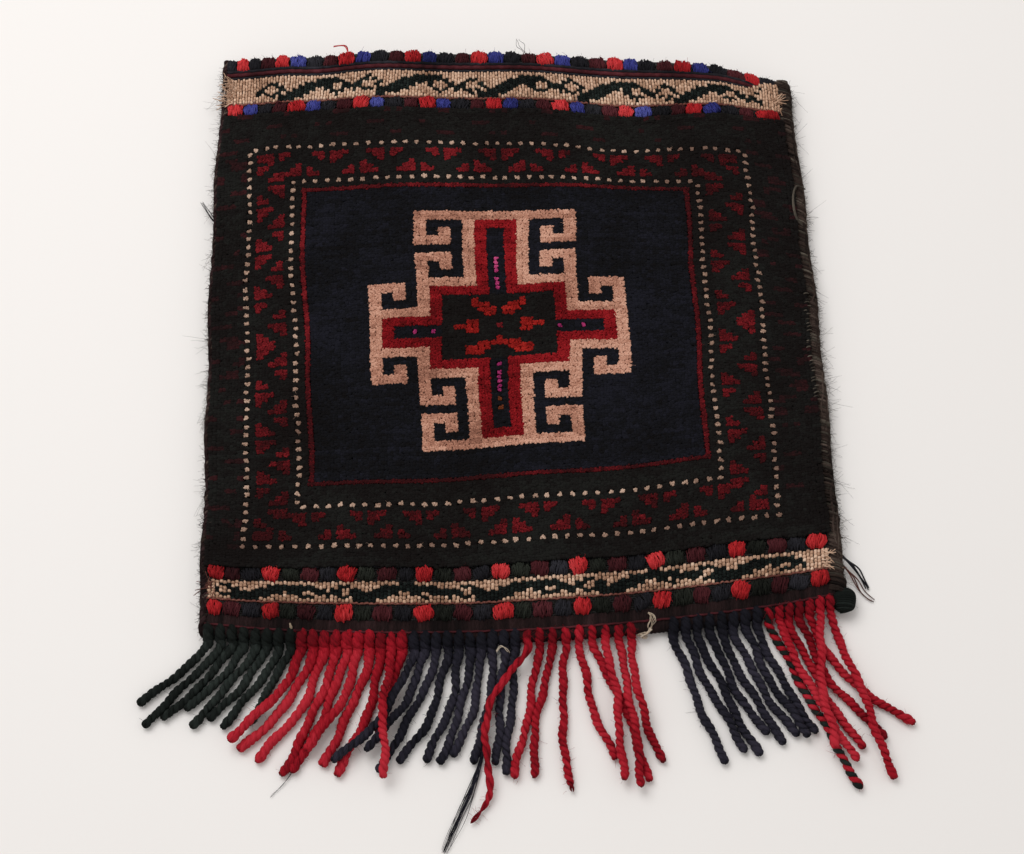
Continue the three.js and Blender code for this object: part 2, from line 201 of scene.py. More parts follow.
# Yarns along many paths: round each point a ring of corners, thick x cos across the path and wide x sin
# along the third way. Their uv is the length run and the turn
def sweep(paths, thick, wide, sides, ref):
    count, stations = paths.shape[:2]
    across, third = waysAcross(paths, ref)
    turn = np.arange(sides) * 2 * np.pi / sides
    thick, wide = (np.broadcast_to(r, (count, stations))[..., None, None] for r in (thick, wide))
    ring = thick * np.cos(turn)[:, None] * across[:, :, None]
    ring = ring + wide * np.sin(turn)[:, None] * third[:, :, None]
    points = (paths[:, :, None] + ring).reshape(-1, 3)
    index = np.arange(len(points)).reshape(count, stations, sides)
    quads = ringQuads(index[:, :-1], index[:, 1:])
    caps = np.concatenate([index[:, 0], index[:, -1, ::-1]])
    length = np.concatenate([np.zeros((count, 1)), stepLengths(paths).cumsum(1)], axis=1)
    uv = coords(length[..., None], turn * 1.5).reshape(-1, 2)
    return points, [quads, caps], uv


# Loose fibres, three-sided: each leaves its root, runs its way and bends aside with the square of the
# run, never under the floor, and tapers to half
def fibres(roots, ways, bends, thick, steps):
    t = np.linspace(0, 1, steps)[None, :, None]
    paths = roots[:, None] + ways[:, None] * t + bends[:, None] * t * t
    paths[..., 2] = np.maximum(paths[..., 2], 0.3)
    radius = thick * (1 - 0.5 * t[..., 0]) * np.ones((len(roots), 1))
    return sweep(paths, radius, radius, 3, (0.31, 0.17, 0.93))


# A number for each strand, given to each face that sweep makes of it: sides first, then the two rows of
# ends
def perFace(number, stations, sides):
    return np.concatenate([number.repeat((stations - 1) * sides), number, number])


# Sets of points, faces and uv as one set
def join(*sets):
    first = np.cumsum([0] + [len(points) for points, _, _ in sets])
    faces = [f + n for n, (_, parts, _) in zip(first, sets) for f in parts]
    return np.concatenate([q[0] for q in sets]), faces, np.concatenate([q[2] for q in sets])


# Copies of a small shape: each corner is its place plus corner x size, turned in the plane and sheared
# as it rises
def stamp(shape, faces, place, size, turn, lean):
    local = shape[None] * size[:, None]
    c, s = np.cos(turn)[:, None], np.sin(turn)[:, None]
    x, y = local[..., 0] * c - local[..., 1] * s, local[..., 0] * s + local[..., 1] * c
    flat = coords(x, y) + lean[:, None] * local[..., 2:]
    points = place[:, None] + np.concatenate([flat, local[..., 2:]], axis=-1)
    step = np.arange(len(place))[:, None, None] * len(shape)
    return points.reshape(-1, 3), [(f[None] + step).reshape(-1, f.shape[1]) for f in faces]


# One mesh whose place is in its vertices, riding on the bag
def makePiece(name, points, faces, materials, slotName, uv=None, tone=None, finish=None, nodes=()):
    mesh = bpy.data.meshes.new(name)
    corners = np.concatenate([f.ravel() for f in faces]).astype(np.int32)
    sizes = np.concatenate([np.full(len(f), f.shape[1]) for f in faces])
    mesh.vertices.add(len(points))
    mesh.vertices.foreach_set("co", (points / 1000).astype(np.float32).ravel())
    mesh.loops.add(len(corners))
    mesh.loops.foreach_set("vertex_index", corners)
    mesh.polygons.add(len(sizes))
    mesh.polygons.foreach_set("loop_start", (np.cumsum(sizes) - sizes).astype(np.int32))
    mesh.polygons.foreach_set("use_smooth", np.ones(len(sizes), bool))
    if finish is not None:
        mesh.polygons.foreach_set("material_index", finish.astype(np.int32))
    mesh.update(calc_edges=True)
    if uv is not None:
        mesh.uv_layers.new(name="yarn").data.foreach_set("uv", uv[corners].astype(np.float32).ravel())
    if tone is not None:
        mesh.attributes.new("tone", "FLOAT", "POINT").data.foreach_set("value", tone.astype(np.float32))
    for material in materials:
        mesh.materials.append(material)
    piece = bpy.data.objects.new(name, mesh)
    bpy.context.collection.objects.link(piece)
    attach(piece, "root")
    if nodes:
        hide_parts(*nodes)
    return piece


# sRGB hex to linear: the low end divided by 12.92, the rest raised to 2.4
def dye(shade):
    srgb = np.array([int(shade[k : k + 2], 16) for k in (0, 2, 4)]) / 255
    linear = np.where(srgb <= 0.04045, srgb / 12.92, ((srgb + 0.055) / 1.055) ** 2.4)
    return (*linear, 1.0)


# Inputs of a node: each is a value or another node's output
def feed(tree, node, inputs):
    for key, value in inputs.items():
        if isinstance(value, bpy.types.NodeSocket):
            tree.links.new(value, node.inputs[key])
        else:
            node.inputs[key].default_value = value


# A node with its settings and inputs
def addNode(tree, kind, settings, inputs):
    node = tree.nodes.new("ShaderNode" + kind)
    for key, value in settings.items():
        setattr(node, key, value)
    feed(tree, node, inputs)
    return node


# An empty finish: the material, its node tree and its shader
def newFinish(name):
    material = bpy.data.materials.new(name)
    material.use_nodes = True
    return material, material.node_tree, material.node_tree.nodes["Principled BSDF"]


# Hand-spun wool, dyed in small batches: matt, soft at the edges, no two tufts or strands quite the same
# shade
wool = {
    "fibre": 0.7,  # size of the fuzz, drawn far coarser than real fibres so that it shows
    "batch": 46.0,  # width of a change of dye lot
    "lots": 0.7,  # weights of the dye lot and of the fuzz
    "fuzz": 0.5,
    "deep": 0.58,  # where the three shades stand on the ramp
    "main": 0.78,
    "pale": 0.98,
    "tone": 0.18,  # with the dye lot and the fuzz, this lands on the main shade
}
sumOf = {"operation": "MULTIPLY_ADD"}


# Shade on the ramp: tone, plus the weighted noises of dye lot and fuzz. deep, main and pale are shades
# of one dye
def woolFinish(name, deep, main, pale, lustre, onYarn=False):
    material, tree, shader = newFinish(name)
    spot = addNode(tree, "TexCoord", {}, {})
    place = spot.outputs["Object"]
    tone = addNode(tree, "Attribute", {"attribute_name": "tone"}, {}).outputs["Fac"]
    lots = addNode(tree, "TexNoise", {}, {"Vector": place, "Scale": 1000 / wool["batch"], "Detail": 2.0})
    shade = addNode(tree, "Math", sumOf, {0: lots.outputs["Fac"], 1: wool["lots"], 2: tone})
    grit = {"Vector": place, "Scale": 1000 / wool["fibre"], "Detail": 3.0}
    if onYarn:  # fibres lie along the strand, wound round it at a slant
        wound = {"Vector": spot.outputs["UV"], "Rotation": (0, 0, 0.5), "Scale": (0.35, 1.6, 1)}
        grit["Vector"] = addNode(tree, "Mapping", {}, wound).outputs["Vector"]
        grit["Scale"] = 1 / wool["fibre"]
    fuzz = addNode(tree, "TexNoise", {}, grit).outputs["Fac"]
    grain = addNode(tree, "Math", sumOf, {0: fuzz, 1: wool["fuzz"], 2: shade.outputs[0]})
    colour = addNode(tree, "ValToRGB", {}, {"Fac": grain.outputs[0]})
    stops = colour.color_ramp.elements
    stops[0].position, stops[0].color = wool["deep"], dye(deep)
    stops[1].position, stops[1].color = wool["pale"], dye(pale)
    stops.new(wool["main"]).color = dye(main)
    bump = addNode(tree, "Bump", {}, {"Height": fuzz, "Strength": 0.6, "Distance": 0.0006})
    look = {"Base Color": colour.outputs["Color"], "Normal": bump.outputs["Normal"], "Roughness": 0.93}
    look |= {"Specular IOR Level": 0.1, "Sheen Weight": lustre, "Sheen Roughness": 0.45}
    look |= {"Sheen Tint": dye(pale)}
    feed(tree, shader, look)
    return material


# Spread of shades: random numbers of a bell round the wool's tone
def shades(count, spread):
    return rng.normal(wool["tone"], spread, count)


# A camera or lamp at its place, looking along a line
def setUp(thing, place, along):
    thing.location = place
    thing.rotation_mode = "QUATERNION"
    thing.rotation_quaternion = along.to_track_quat("-Z", "Y")
    bpy.context.collection.objects.link(thing)


# Camera and light: the view is steep, from just left of straight in front, with a soft window behind at
# the left
view = {"aim": (-0.003, -0.069, 0.0), "azimuth": -1.63, "elevation": 65.0, "away": 1.1744, "lens": 64.5}
turn, tilt = np.radians(view["azimuth"]), np.radians(view["elevation"])
back = Vector((np.sin(turn) * np.cos(tilt), -np.cos(turn) * np.cos(tilt), np.sin(tilt)))
cameraData = bpy.data.cameras.new("camera")
cameraData.lens, cameraData.sensor_width = view["lens"], 36.0
camera = bpy.data.objects.new("camera", cameraData)
setUp(camera, Vector(view["aim"]) + back * view["away"], -back)
bpy.context.scene.camera = camera
bpy.context.scene.view_settings.view_transform = "Standard"

light = {"sky": 0.62, "window": 26.0, "windowSize": 1.7, "windowAt": (-0.7, 0.75, 1.9)}
world = bpy.data.worlds.new("studio")
world.use_nodes = True
sky = {"Color": (1.0, 0.99, 0.975, 1.0), "Strength": light["sky"]}
feed(world.node_tree, world.node_tree.nodes["Background"], sky)
bpy.context.scene.world = world
lampData = bpy.data.lights.new("window", "AREA")
lampData.shape, lampData.size, lampData.energy = "DISK", light["windowSize"], light["window"]
lamp = bpy.data.objects.new("window", lampData)
setUp(lamp, light["windowAt"], -Vector(light["windowAt"]))

# Floor: pale washed boards, plain and matt, just under the cloth
floorReach, floorLevel = 4, -0.0004
floorPaint, paintTree, paintShader = newFinish("pale_floor")
feed(paintTree, paintShader, {"Base Color": dye("ede9e6"), "Roughness": 0.8})
floorMesh = bpy.data.meshes.new("floor")
floorSquare = ((-1, -1), (1, -1), (1, 1), (-1, 1))
floorCorners = [(x * floorReach, y * floorReach, floorLevel) for x, y in floorSquare]
floorMesh.from_pydata(floorCorners, [], [(0, 1, 2, 3)])
floorMesh.materials.append(floorPaint)
floor = bpy.data.objects.new("floor", floorMesh)
bpy.context.collection.objects.link(floor)
print("view and light set")

# Wools of the pile, each as deep, main and pale shade of its dye, and its lustre
wools = {
    "blackGreen": ("wool_green_black", "0e0908", "120f0e", "191917", 0.03),
    "navy": ("wool_navy", "0a0809", "0e0e12", "17171f", 0.04),
    "maroon": ("wool_maroon", "160b0b", "210e0f", "321416", 0.05),
    "madder": ("wool_madder", "2e0a0c", "540e13", "781b20", 0.08),
    "cherry": ("wool_cherry", "4e0709", "740d13", "941b20", 0.1),
    "scarlet": ("wool_scarlet", "560d09", "841512", "a4261f", 0.08),
    "camel": ("wool_camel", "855949", "b07d68", "cf9f89", 0.15),
    "cream": ("wool_cream", "745a4e", "a08371", "c4a794", 0.12),
    "magenta": ("silk_magenta", "661a48", "98285c", "c2507f", 0.12),
    "rust": ("wool_rust", "3a170a", "5e2a14", "7c4020", 0.1),
}
wools = {key: woolFinish("pile_" + kind, *dyes) for key, (kind, *dyes) in wools.items()}
wools["sideLine"] = wools["endLine"] = wools["madder"]  # the field's thin frame

# Where each guard line runs, in knots from the medallion's middle: left, low, right, high
pattern = {
    "outerGuard": (-42, -48, 44, 45),
    "innerGuard": (-34, -39, 35, 36),
    "fieldLine": (-32, -34, 33, 34),
    "topTriangles": 9,
    "sideTriangles": 7,
    "hooks": [  # camel bars of one quarter of the medallion: left, low, right, high
        (0, 26, 13.5, 28),
        (11.5, 20, 13.5, 28),
        (7.5, 20, 13.5, 22),
        (7.5, 20, 9.5, 24),
        (3.5, 10, 5.5, 28),
        (3.5, 10, 13.5, 12),
        (11.5, 3, 13.5, 18),
        (7.5, 16, 13.5, 18),
        (7.5, 14, 9.5, 18),
    ],
    "armHooks": [(11.5, 4, 21.5, 6), (19.5, 0, 21.5, 12), (15.5, 10, 21.5, 12), (15.5, 8, 17.5, 12)],
    "cross": [(0, 24, 3.5, 26), (1.5, 8, 3.5, 26), (1.5, 8, 11.5, 10)],  # red bars of one quarter
    "armCross": [(9.5, 2, 11.5, 9), (9.5, 2, 19.5, 4), (17.5, 0, 19.5, 4)],
    "armMiddle": -1,  # the arms lie a knot lower than the middle of the rest
    # single knots of silk and rust wool, up the middle and across the arms
    "magentaUp": (16, 15, 14, 13, 11, 10, 9, -9, -11, -12, -13, -14, -15),
    "magentaAcross": (-14, -11, 10, 14),
    "rustUp": (-17, -19),
}

col, row = np.meshgrid(
    np.arange(-bag["knotsLeft"], bag["knotsRight"] + 1), np.arange(-bag["knotsBelow"], bag["knotsAbove"] + 1)
)
names = list(wools)
woolAt = np.zeros(col.shape, int)


def paint(mask, name):
    woolAt[mask] = names.index(name)


# Knots in from a frame: the least of the four distances, 0 on the frame and negative outside it
def inFrom(box):
    left, low, right, high = box
    return np.minimum(np.minimum(col - left, right - col), np.minimum(row - low, high - row))


# A file of split triangles: s runs along the border, d in from its guard, widest at d = 2 and gone past
# d = 4
def splitTriangles(s, d, start, period):
    off = np.abs((s - start) / period % 1 - 0.5) * period
    return (off > 0.45) & (off <= 5.1 - d) & (d >= 2) & (d <= 4)


# Distance of each knot from a slanting stroke, less the stroke's half width, which changes evenly along
# it
def stroke(x, y, start, end, startHalf, endHalf):
    run = np.subtract(end, start)
    t = np.clip(((x - start[0]) * run[0] + (y - start[1]) * run[1]) / (run @ run), 0, 1)
    away = np.hypot(x - start[0] - t * run[0], y - start[1] - t * run[1])
    return away - (startHalf + (endHalf - startHalf) * t)


# Knots inside any of the bars of a quarter, mirrored about the middle both ways
def bars(boxes, middle=0):
    x, y = np.abs(col), np.abs(row - middle)
    return np.any([(x >= b[0]) & (x < b[2]) & (y >= b[1]) & (y < b[3]) for b in boxes], axis=0)


outerLeft, outerLow, outerRight, outerHigh = pattern["outerGuard"]
inOuter, inInner, inLine = (inFrom(pattern[k]) for k in ("outerGuard", "innerGuard", "fieldLine"))

dashRows = (np.abs(row) * 0.29 + 0.14 * np.sin(row * 1.7 + col / 9)) % 1 < 0.4
sideStrip = (inOuter < 0) & (row > outerLow - 1) & (row < outerHigh + 1)
clumps = np.sin(col * 1.1 + 2.2 * np.sin(row * 0.45)) > -0.2  # dashes of three knots or so, in broken files
paint(sideStrip & dashRows & clumps & (rng.random(col.shape) < 0.8), "maroon")
endStrip = (inOuter < -1) & (row >= outerHigh + 2)
paint(endStrip & ((col + 3 * (row % 2)) % 9 < 3) & (row % 3 == 0) & (rng.random(col.shape) < 0.7), "maroon")

between = (inOuter > 0) & (inInner < 0)
fromSide = np.minimum(col - outerLeft, outerRight - col)
fromEnd = np.minimum(row - outerLow, outerHigh - row)
topPeriod = (outerRight - outerLeft) / pattern["topTriangles"]
sideLow, sideHigh = pattern["innerGuard"][1], pattern["innerGuard"][3]
sidePeriod = (sideHigh - sideLow) / pattern["sideTriangles"]
leftWide = pattern["innerGuard"][0] - outerLeft
endWide = pattern["innerGuard"][1] - outerLow
for along, depth, wide, start, period, mine in (
    (col, fromEnd, endWide, outerLeft, topPeriod, fromEnd <= fromSide),
    (row, fromSide, np.where(col < 0, leftWide, endWide), sideLow, sidePeriod, fromSide < fromEnd),
):
    outerFile = splitTriangles(along, depth, start, period)
    innerFile = splitTriangles(along + period / 2, wide - depth, start, period)
    paint(between & mine & (outerFile | innerFile), "madder")
paint(((inOuter == 0) | (inInner == 0)) & ((col + row) % 2 == 0), "cream")
paint((inInner > 1) & (inLine < -1) & ((row % 5) == 2) & (rng.random(col.shape) < 0.5), "maroon")
paint(inLine == 0, "sideLine")
paint((inLine == 0) & np.isin(row, pattern["fieldLine"][1::2]), "endLine")
paint(inLine > 0, "navy")
paint(bars(pattern["hooks"]) | bars(pattern["armHooks"], pattern["armMiddle"]), "camel")
paint(bars(pattern["cross"]) | bars(pattern["armCross"], pattern["armMiddle"]), "cherry")
paint((np.abs(col) < 9.5) & (np.abs(row) < 8), "blackGreen")

x = np.abs(col)
leaves = stroke(x, row, (4.4, 6.0), (1.6, 3.6), 0.5, 1.0) < 0
leaves |= stroke(x, row, (4.6, -5.8), (0.0, -3.4), 1.0, 0.7) < 0
leaves |= (x >= 4) & (x <= 7) & (np.abs(row) <= (7.6 - x) * 0.42)
paint(leaves & (np.abs(row) < 8), "scarlet")
paint((x == 0) & (row == 0), "madder")
paint((col == 0) & np.isin(row, pattern["magentaUp"]), "magenta")
paint((col == 0) & np.isin(row, pattern["rustUp"]), "rust")
paint((row == pattern["armMiddle"]) & np.isin(col, pattern["magentaAcross"]), "magenta")
print("pattern laid out on", woolAt.size, "knots")

# Pile: each knot shows as a few cut ends of yarn, and the brighter wools stand a little proud of the
# worn dark ones. A tight knot draws its ends in towards its middle, by its shares across and up
pile = {
    "height": 4.1,
    "proud": 0.45,
    "stray": 0.12,  # of one cut end, and of a guard dot
    "dotStray": 0.35,
    "lean": -0.3,  # down the bag, as the knots were pulled
    "sideLean": 0.35,  # at the edges, and at the top, the ends lean out
    "topLean": 0.3,
    "edge": 6,
    "topEdge": 8,
    "hair": 0.08,
    "knotsInPiece": 1100,
}
tight = {
    "cream": (0.5, 0.5),
    "magenta": (0.34, 0.34),
    "rust": (0.5, 0.5),
    "camel": (0.92, 0.92),
    "cherry": (0.92, 0.92),
    "madder": (0.92, 0.92),
    "scarlet": (0.85, 0.85),
    "sideLine": (0.5, 1),
    "endLine": (1, 0.5),
}
# How far a wool is taken down the ramp, darker towards the right and towards the foot
darkerRightAndFoot = {"madder": (0.12, 0.13), "cream": (0.15, 0), "sideLine": (0.1, 0.1), "endLine": (0.1, 0.22)}
tuft = np.array(
    [(-0.5, -0.5, 0), (0.5, -0.5, 0), (0.5, 0.5, 0), (-0.5, 0.5, 0)]
    + [(-0.52, -0.52, 0.9), (0.52, -0.52, 0.9), (0.52, 0.52, 0.9), (-0.52, 0.52, 0.9), (0, 0, 1)]
)
tuftFaces = [
    np.array([(k, (k + 1) % 4, 4 + (k + 1) % 4, 4 + k) for k in range(4)]),
    np.array([(4 + k, 4 + (k + 1) % 4, 8) for k in range(4)]),
]
wornEnds = np.array([(x, y) for x in (-0.25, 0.25) for y in (-0.25, 0.25)])
cutEnds = np.array([(x, y) for x in (-0.375, -0.125, 0.125, 0.375) for y in (-1 / 3, 0, 1 / 3)])
rowShade = rng.normal(0, 0.03, woolAt.shape[0])  # each row of knots was tied from its own length of yarn


# Knots of one wool: tufts in file, each knot with its own shade, and a few fibres that have worked loose
def pileOf(name, c, r):
    worn = name in ("blackGreen", "navy", "maroon")  # the dark dyes have eaten their wool
    grid = wornEnds if worn else cutEnds
    ends = len(grid)
    count = len(c) * ends
    drawn = np.array(tight.get(name, (1, 1))) * rng.uniform(0.9, 1.08, len(c)).repeat(ends)[:, None]
    part = np.tile(grid, (len(c), 1)) * drawn
    place = np.zeros((count, 3))
    place[:, 0] = midAcross + (c.repeat(ends) + part[:, 0]) * bag["knotWide"]
    place[:, 1] = midUp + (r.repeat(ends) + part[:, 1]) * bag["knotTall"]
    place[:, :2] += rng.normal(0, pile["stray"], (count, 2))
    if name == "cream":  # the guard dots wander a little in their file
        place[:, :2] += rng.normal(0, pile["dotStray"], (len(c), 2)).repeat(ends, axis=0)
    wide = (0.7 * bag["knotWide"], 0.7 * bag["knotTall"], 0) if worn else (1.3, 1.4, 0)
    size = rng.uniform(0.88, 1.12, (count, 3)) * wide
    if name in ("cream", "magenta", "rust"):
        size *= 0.85
    size[:, 2] = pile["height"] + (0 if worn else pile["proud"]) + rng.normal(0, 0.08, count)
    lean = rng.normal(0, 0.08, (count, 2)) + (0, pile["lean"])
    lean[:, 0] += pile["sideLean"] * ramp(place[:, 0], pileRight - pile["edge"], pileRight)
    lean[:, 0] -= pile["sideLean"] * ramp(-place[:, 0], -pileLeft - pile["edge"], -pileLeft)
    lean[:, 1] += pile["topLean"] * ramp(place[:, 1], pileTop - pile["topEdge"], pileTop)
    points, faces = stamp(tuft, tuftFaces, place, size, rng.uniform(-0.5, 0.5, count), lean)
    knotShade = rng.normal(0, 0.045, len(c)) + rowShade[r + bag["knotsBelow"]]
    rightward, footward = darkerRightAndFoot.get(name, (0, 0))
    knotShade -= np.maximum(rightward * ramp(c, 22, 34), footward * ramp(-r, 26, 33))
    tone = shades(count, 0.05) + knotShade.repeat(ends)
    stray = rng.permutation(count)[: count // (13 if worn else 14)]
    root = place[stray] + (0, pile["lean"] * pile["height"], 0)
    root[:, 2] = size[stray, 2] - 0.5
    way = rng.normal(0, 1, root.shape) * (0.9, 0.9, 0.3) + (0, -0.5, 0.8)
    hairs = fibres(root, way, rng.normal(0, 0.7, root.shape), pile["hair"], 4)
    points, faces, _ = join((points, faces, np.zeros((len(points), 2))), hairs)
    return points, faces, np.concatenate([tone.repeat(len(tuft)), (tone[stray] + 0.12).repeat(12)])


pilePieces = []
for number, name in enumerate(names):
    allC, allR = col[woolAt == number], row[woolAt == number]
    share = -(-len(allC) // pile["knotsInPiece"])
    for piece, (c, r) in enumerate(zip(np.array_split(allC, share), np.array_split(allR, share))):
        points, faces, tone = pileOf(name, c, r)
        title = f"pile_{name}_{piece + 1}"
        pilePieces.append(makePiece(title, onCloth(points), faces, [wools[name]], "pile_wool", tone=tone))
print("pile knotted:", sum(len(p.data.polygons) for p in pilePieces), "faces")

# Woven strip: back, fold and front as one sheet, its corners on columns across and stations along both
# faces. The thread is drawn a little coarser than two warps to a knot would give, so that it shows
strip = {"columns": 121, "backStations": 60, "turns": 13, "frontStations": 90, "thread": 2.6}
acrossStrip = np.linspace(-halfWide, halfWide, strip["columns"])[:, None]
backB = np.linspace(bagLength, foldMiddle, strip["backStations"])[None, :-1]
frontB = np.linspace(foldMiddle, bagLength, strip["frontStations"])[None, 1:]
foldTurn = np.linspace(0, np.pi, strip["turns"])[None]


# One face of the strip: flat back, half circle of the fold about its middle, then the front at its own
# height
def stripFace(radius, backUp, frontDown):
    lift = backLift(acrossStrip)
    foldB = foldMiddle - radius * np.sin(foldTurn)
    runs = [np.broadcast_to(part, (strip["columns"], part.shape[1])) for part in (backB, foldB, frontB)]
    b = np.concatenate(runs, axis=1)
    foldZ = lift + backUp + radius - radius * np.cos(foldTurn)
    frontZ = groundTop(acrossStrip, frontB) - frontDown
    z = np.concatenate([lift + backUp + 0 * backB, foldZ, frontZ], axis=1)
    run = np.concatenate([-backB - foldMiddle, radius * (foldTurn - np.pi / 2), frontB + foldMiddle], axis=1)
    return coords(*plan(acrossStrip, b), z), coords(acrossStrip, run)


outerFace, outerUv = stripFace(foldHeight / 2, 0, 0)
innerFace, innerUv = stripFace(bag["foldGap"] / 2, bag["back"], bag["ground"])
stripPoints = np.concatenate([outerFace, innerFace[:, ::-1]], axis=1)
stripUv = np.concatenate([outerUv, innerUv[:, ::-1]], axis=1).reshape(-1, 2)
index = np.arange(stripPoints.shape[0] * stripPoints.shape[1]).reshape(stripPoints.shape[:2])
sides = ringQuads(index[:-1], index[1:])
half = index.shape[1] // 2
inside = index[:, ::-1]  # the point of the inner face that lies opposite each one of the outer
rim = np.stack([index[:, : half - 1], index[:, 1:half], inside[:, 1:half], inside[:, : half - 1]], axis=-1)
ends = np.concatenate([rim[0], rim[-1][:, ::-1]])


# Weft-faced plain weave of brown goat hair and wool: small beads of weft in brick order, and narrow
# stripes across the back. Each stripe starts at its share of the way from the mouth to the fold
weave = {"brown": "3b2c25", "red": "571a1c", "blue": "1d2230", "tan": "8b6a4c", "dark": "17120f"}
stripeStarts = [(0.0, "brown"), (0.1, "red"), (0.125, "brown"), (0.135, "blue"), (0.15, "brown")]
stripeStarts += [(0.42, "red"), (0.432, "tan"), (0.44, "blue"), (0.47, "tan"), (0.478, "red")]
stripeStarts += [(0.49, "brown"), (0.78, "blue"), (0.795, "brown"), (0.805, "red"), (0.83, "brown")]
stripeStarts += [(0.985, "dark")]


def weaveFinish(name, thread):
    material, tree, shader = newFinish(name)
    place = addNode(tree, "TexCoord", {}, {}).outputs["UV"]
    sizes = {"Vector": place, "Scale": 1.0, "Brick Width": thread, "Row Height": thread / 2}
    sizes |= {"Mortar Size": thread * 0.06, "Mortar Smooth": 1.0, "Bias": 0.0}
    greys = {"Color1": 0.72, "Color2": 1, "Mortar": 0.35}
    sizes |= {key: (grey, grey, grey, 1) for key, grey in greys.items()}
    beads = addNode(tree, "TexBrick", {"offset": 0.5}, sizes)
    along = addNode(tree, "SeparateXYZ", {}, {"Vector": place}).outputs["Y"]
    share = addNode(tree, "MapRange", {}, {"Value": along, "From Min": -bagLength, "From Max": 0.0})
    stripes = addNode(tree, "ValToRGB", {}, {"Fac": share.outputs["Result"]})
    stripes.color_ramp.interpolation = "CONSTANT"
    stops = stripes.color_ramp.elements
    stops[1].position = stripeStarts[1][0]
    for number, (position, shade) in enumerate(stripeStarts):
        stop = stops[number] if number < 2 else stops.new(position)
        stop.color = dye(weave[shade])
    fuzz = addNode(tree, "TexNoise", {}, {"Vector": place, "Scale": 1.6, "Detail": 4.0})
    mixes = {"data_type": "RGBA", "blend_type": "MULTIPLY"}
    threads = addNode(tree, "Mix", mixes, {0: 1.0, 6: stripes.outputs["Color"], 7: beads.outputs["Color"]})
    hairy = addNode(tree, "Mix", mixes, {0: 0.45, 6: threads.outputs[2], 7: fuzz.outputs["Color"]})
    rise = addNode(tree, "Math", sumOf, {0: beads.outputs["Fac"], 1: -1.0, 2: fuzz.outputs["Fac"]})
    bump = addNode(tree, "Bump", {}, {"Height": rise.outputs[0], "Strength": 0.9, "Distance": 0.0009})
    look = {"Base Color": hairy.outputs[2], "Normal": bump.outputs["Normal"]}
    look |= {"Roughness": 0.95, "Specular IOR Level": 0.15, "Sheen Weight": 0.15}
    feed(tree, shader, look)
    return material


cloth = makePiece(
    "woven_strip",
    stripPoints.reshape(-1, 3),
    [sides, ends],
    [weaveFinish("goat_hair_weave", strip["thread"])],
    "pile_wool",
    uv=stripUv,
    nodes=["bag_cloth"],
)
print("woven strip laid")

# Yarns of all else, the same way. True marks those seen at length, with fibres wound along them
yarns = {
    "beige": ("band_yarn_beige", "8f6c56", "c8a389", "e2c4ac", 0.15),
    "bandGreen": ("band_yarn_dark_green", "0a0d0c", "151a18", "262d2a", 0.06),
    "rose": ("band_yarn_rose", "4c2c27", "74463d", "966558", 0.1, True),
    "plum": ("row_wool_plum", "260f12", "441b1f", "5c2c31", 0.06, True),
    "red": ("row_wool_red", "7a1519", "b6262a", "d84648", 0.12, True),
    "blue": ("row_wool_blue", "1f2250", "3b3e88", "5c61a8", 0.12, True),
    "ink": ("row_wool_ink", "100f12", "201f23", "333238", 0.04, True),
    "green": ("row_wool_dark_green", "0f100d", "20221d", "343730", 0.04, True),
    "hemBrown": ("hem_wool_brown_black", "110b0b", "251818", "3a2829", 0.06, True),
    "bark": ("binding_goat_hair_brown", "17110f", "392d28", "5e5149", 0.08, True),
    "moss": ("binding_goat_hair_grey", "231f1b", "4a433b", "746b60", 0.08, True),
    "warp": ("loose_warp_wool_ivory", "8d7a66", "c2b09b", "e0d6c8", 0.12, True),
    "fringeRed": ("fringe_wool_red", "5a0811", "92121f", "b42a36", 0.1, True),
    "fringeNavy": ("fringe_wool_navy", "0d0d12", "1b1a22", "302d38", 0.08, True),
    "fringeBlack": ("fringe_wool_green_black", "0b0e0c", "181c1a", "2a302d", 0.06, True),
}
yarns = {key: woolFinish(*dyes) for key, dyes in yarns.items()}


# One piece of strands of one yarn, each strand with its own shade
def yarnPiece(name, mesh, yarn, slotName, strands, spread):
    points, faces, uv = mesh
    tone = shades(strands, spread).repeat(len(points) // strands)
    return makePiece(name, points, faces, [yarns[yarn]], slotName, uv=uv, tone=tone)


# Flat-woven bands: upright overlay stitches, each a bead with eight corners at its foot and its shoulder
# and a ridge
stitchTop = np.array([(0.5, 0.2), (0.36, 0.5), (-0.36, 0.5), (-0.5, 0.2)])
stitchRound = np.concatenate([stitchTop, -stitchTop])
bead = np.concatenate(
    [
        np.column_stack([stitchRound, np.zeros(8)]),
        np.column_stack([stitchRound * (0.9, 0.94), np.full(8, 0.7)]),
        [(0, 0.2, 1), (0, -0.2, 1)],
    ]
)
beadSides = [(k, (k + 1) % 8, 8 + (k + 1) % 8, 8 + k) for k in range(8)]
beadFaces = [
    np.array(beadSides + [(11, 12, 17, 16), (15, 8, 16, 17)]),
    np.array([(k, k + 1, ridge) for start, ridge in ((8, 16), (12, 17)) for k in range(start, start + 3)]),
]
repeat = 25  # stitches along one repeat of the bands' motif


# Dark stitches of a band, c along a repeat and r from 0 to 6 up: a scroll that starts thick at the foot,
# rises to the right and thins along the top, then dips past the outlines of two diamonds. more thickens
# them all
def bandMotif(c, r, more):
    c = (c + 4) % repeat - 4
    scroll = 0.6 + 3.9 * ramp(c, -3, 9.5) - 2.4 * ramp(c, 12, 17.5)
    fat = 0.6 + 0.95 * bell(c, 3.2, 4.6) + more
    dark = (c > -3) & (c < 17.4) & (np.abs(r - scroll) < fat)
    for middle in (12.3, 20.2):
        across = np.abs((c - middle + repeat / 2) % repeat - repeat / 2)
        ring = across / 3.7 + np.abs(r - 3.0) / 2.1
        dark |= np.abs(ring - 0.88) < 0.25 + 0.14 * more
    return dark


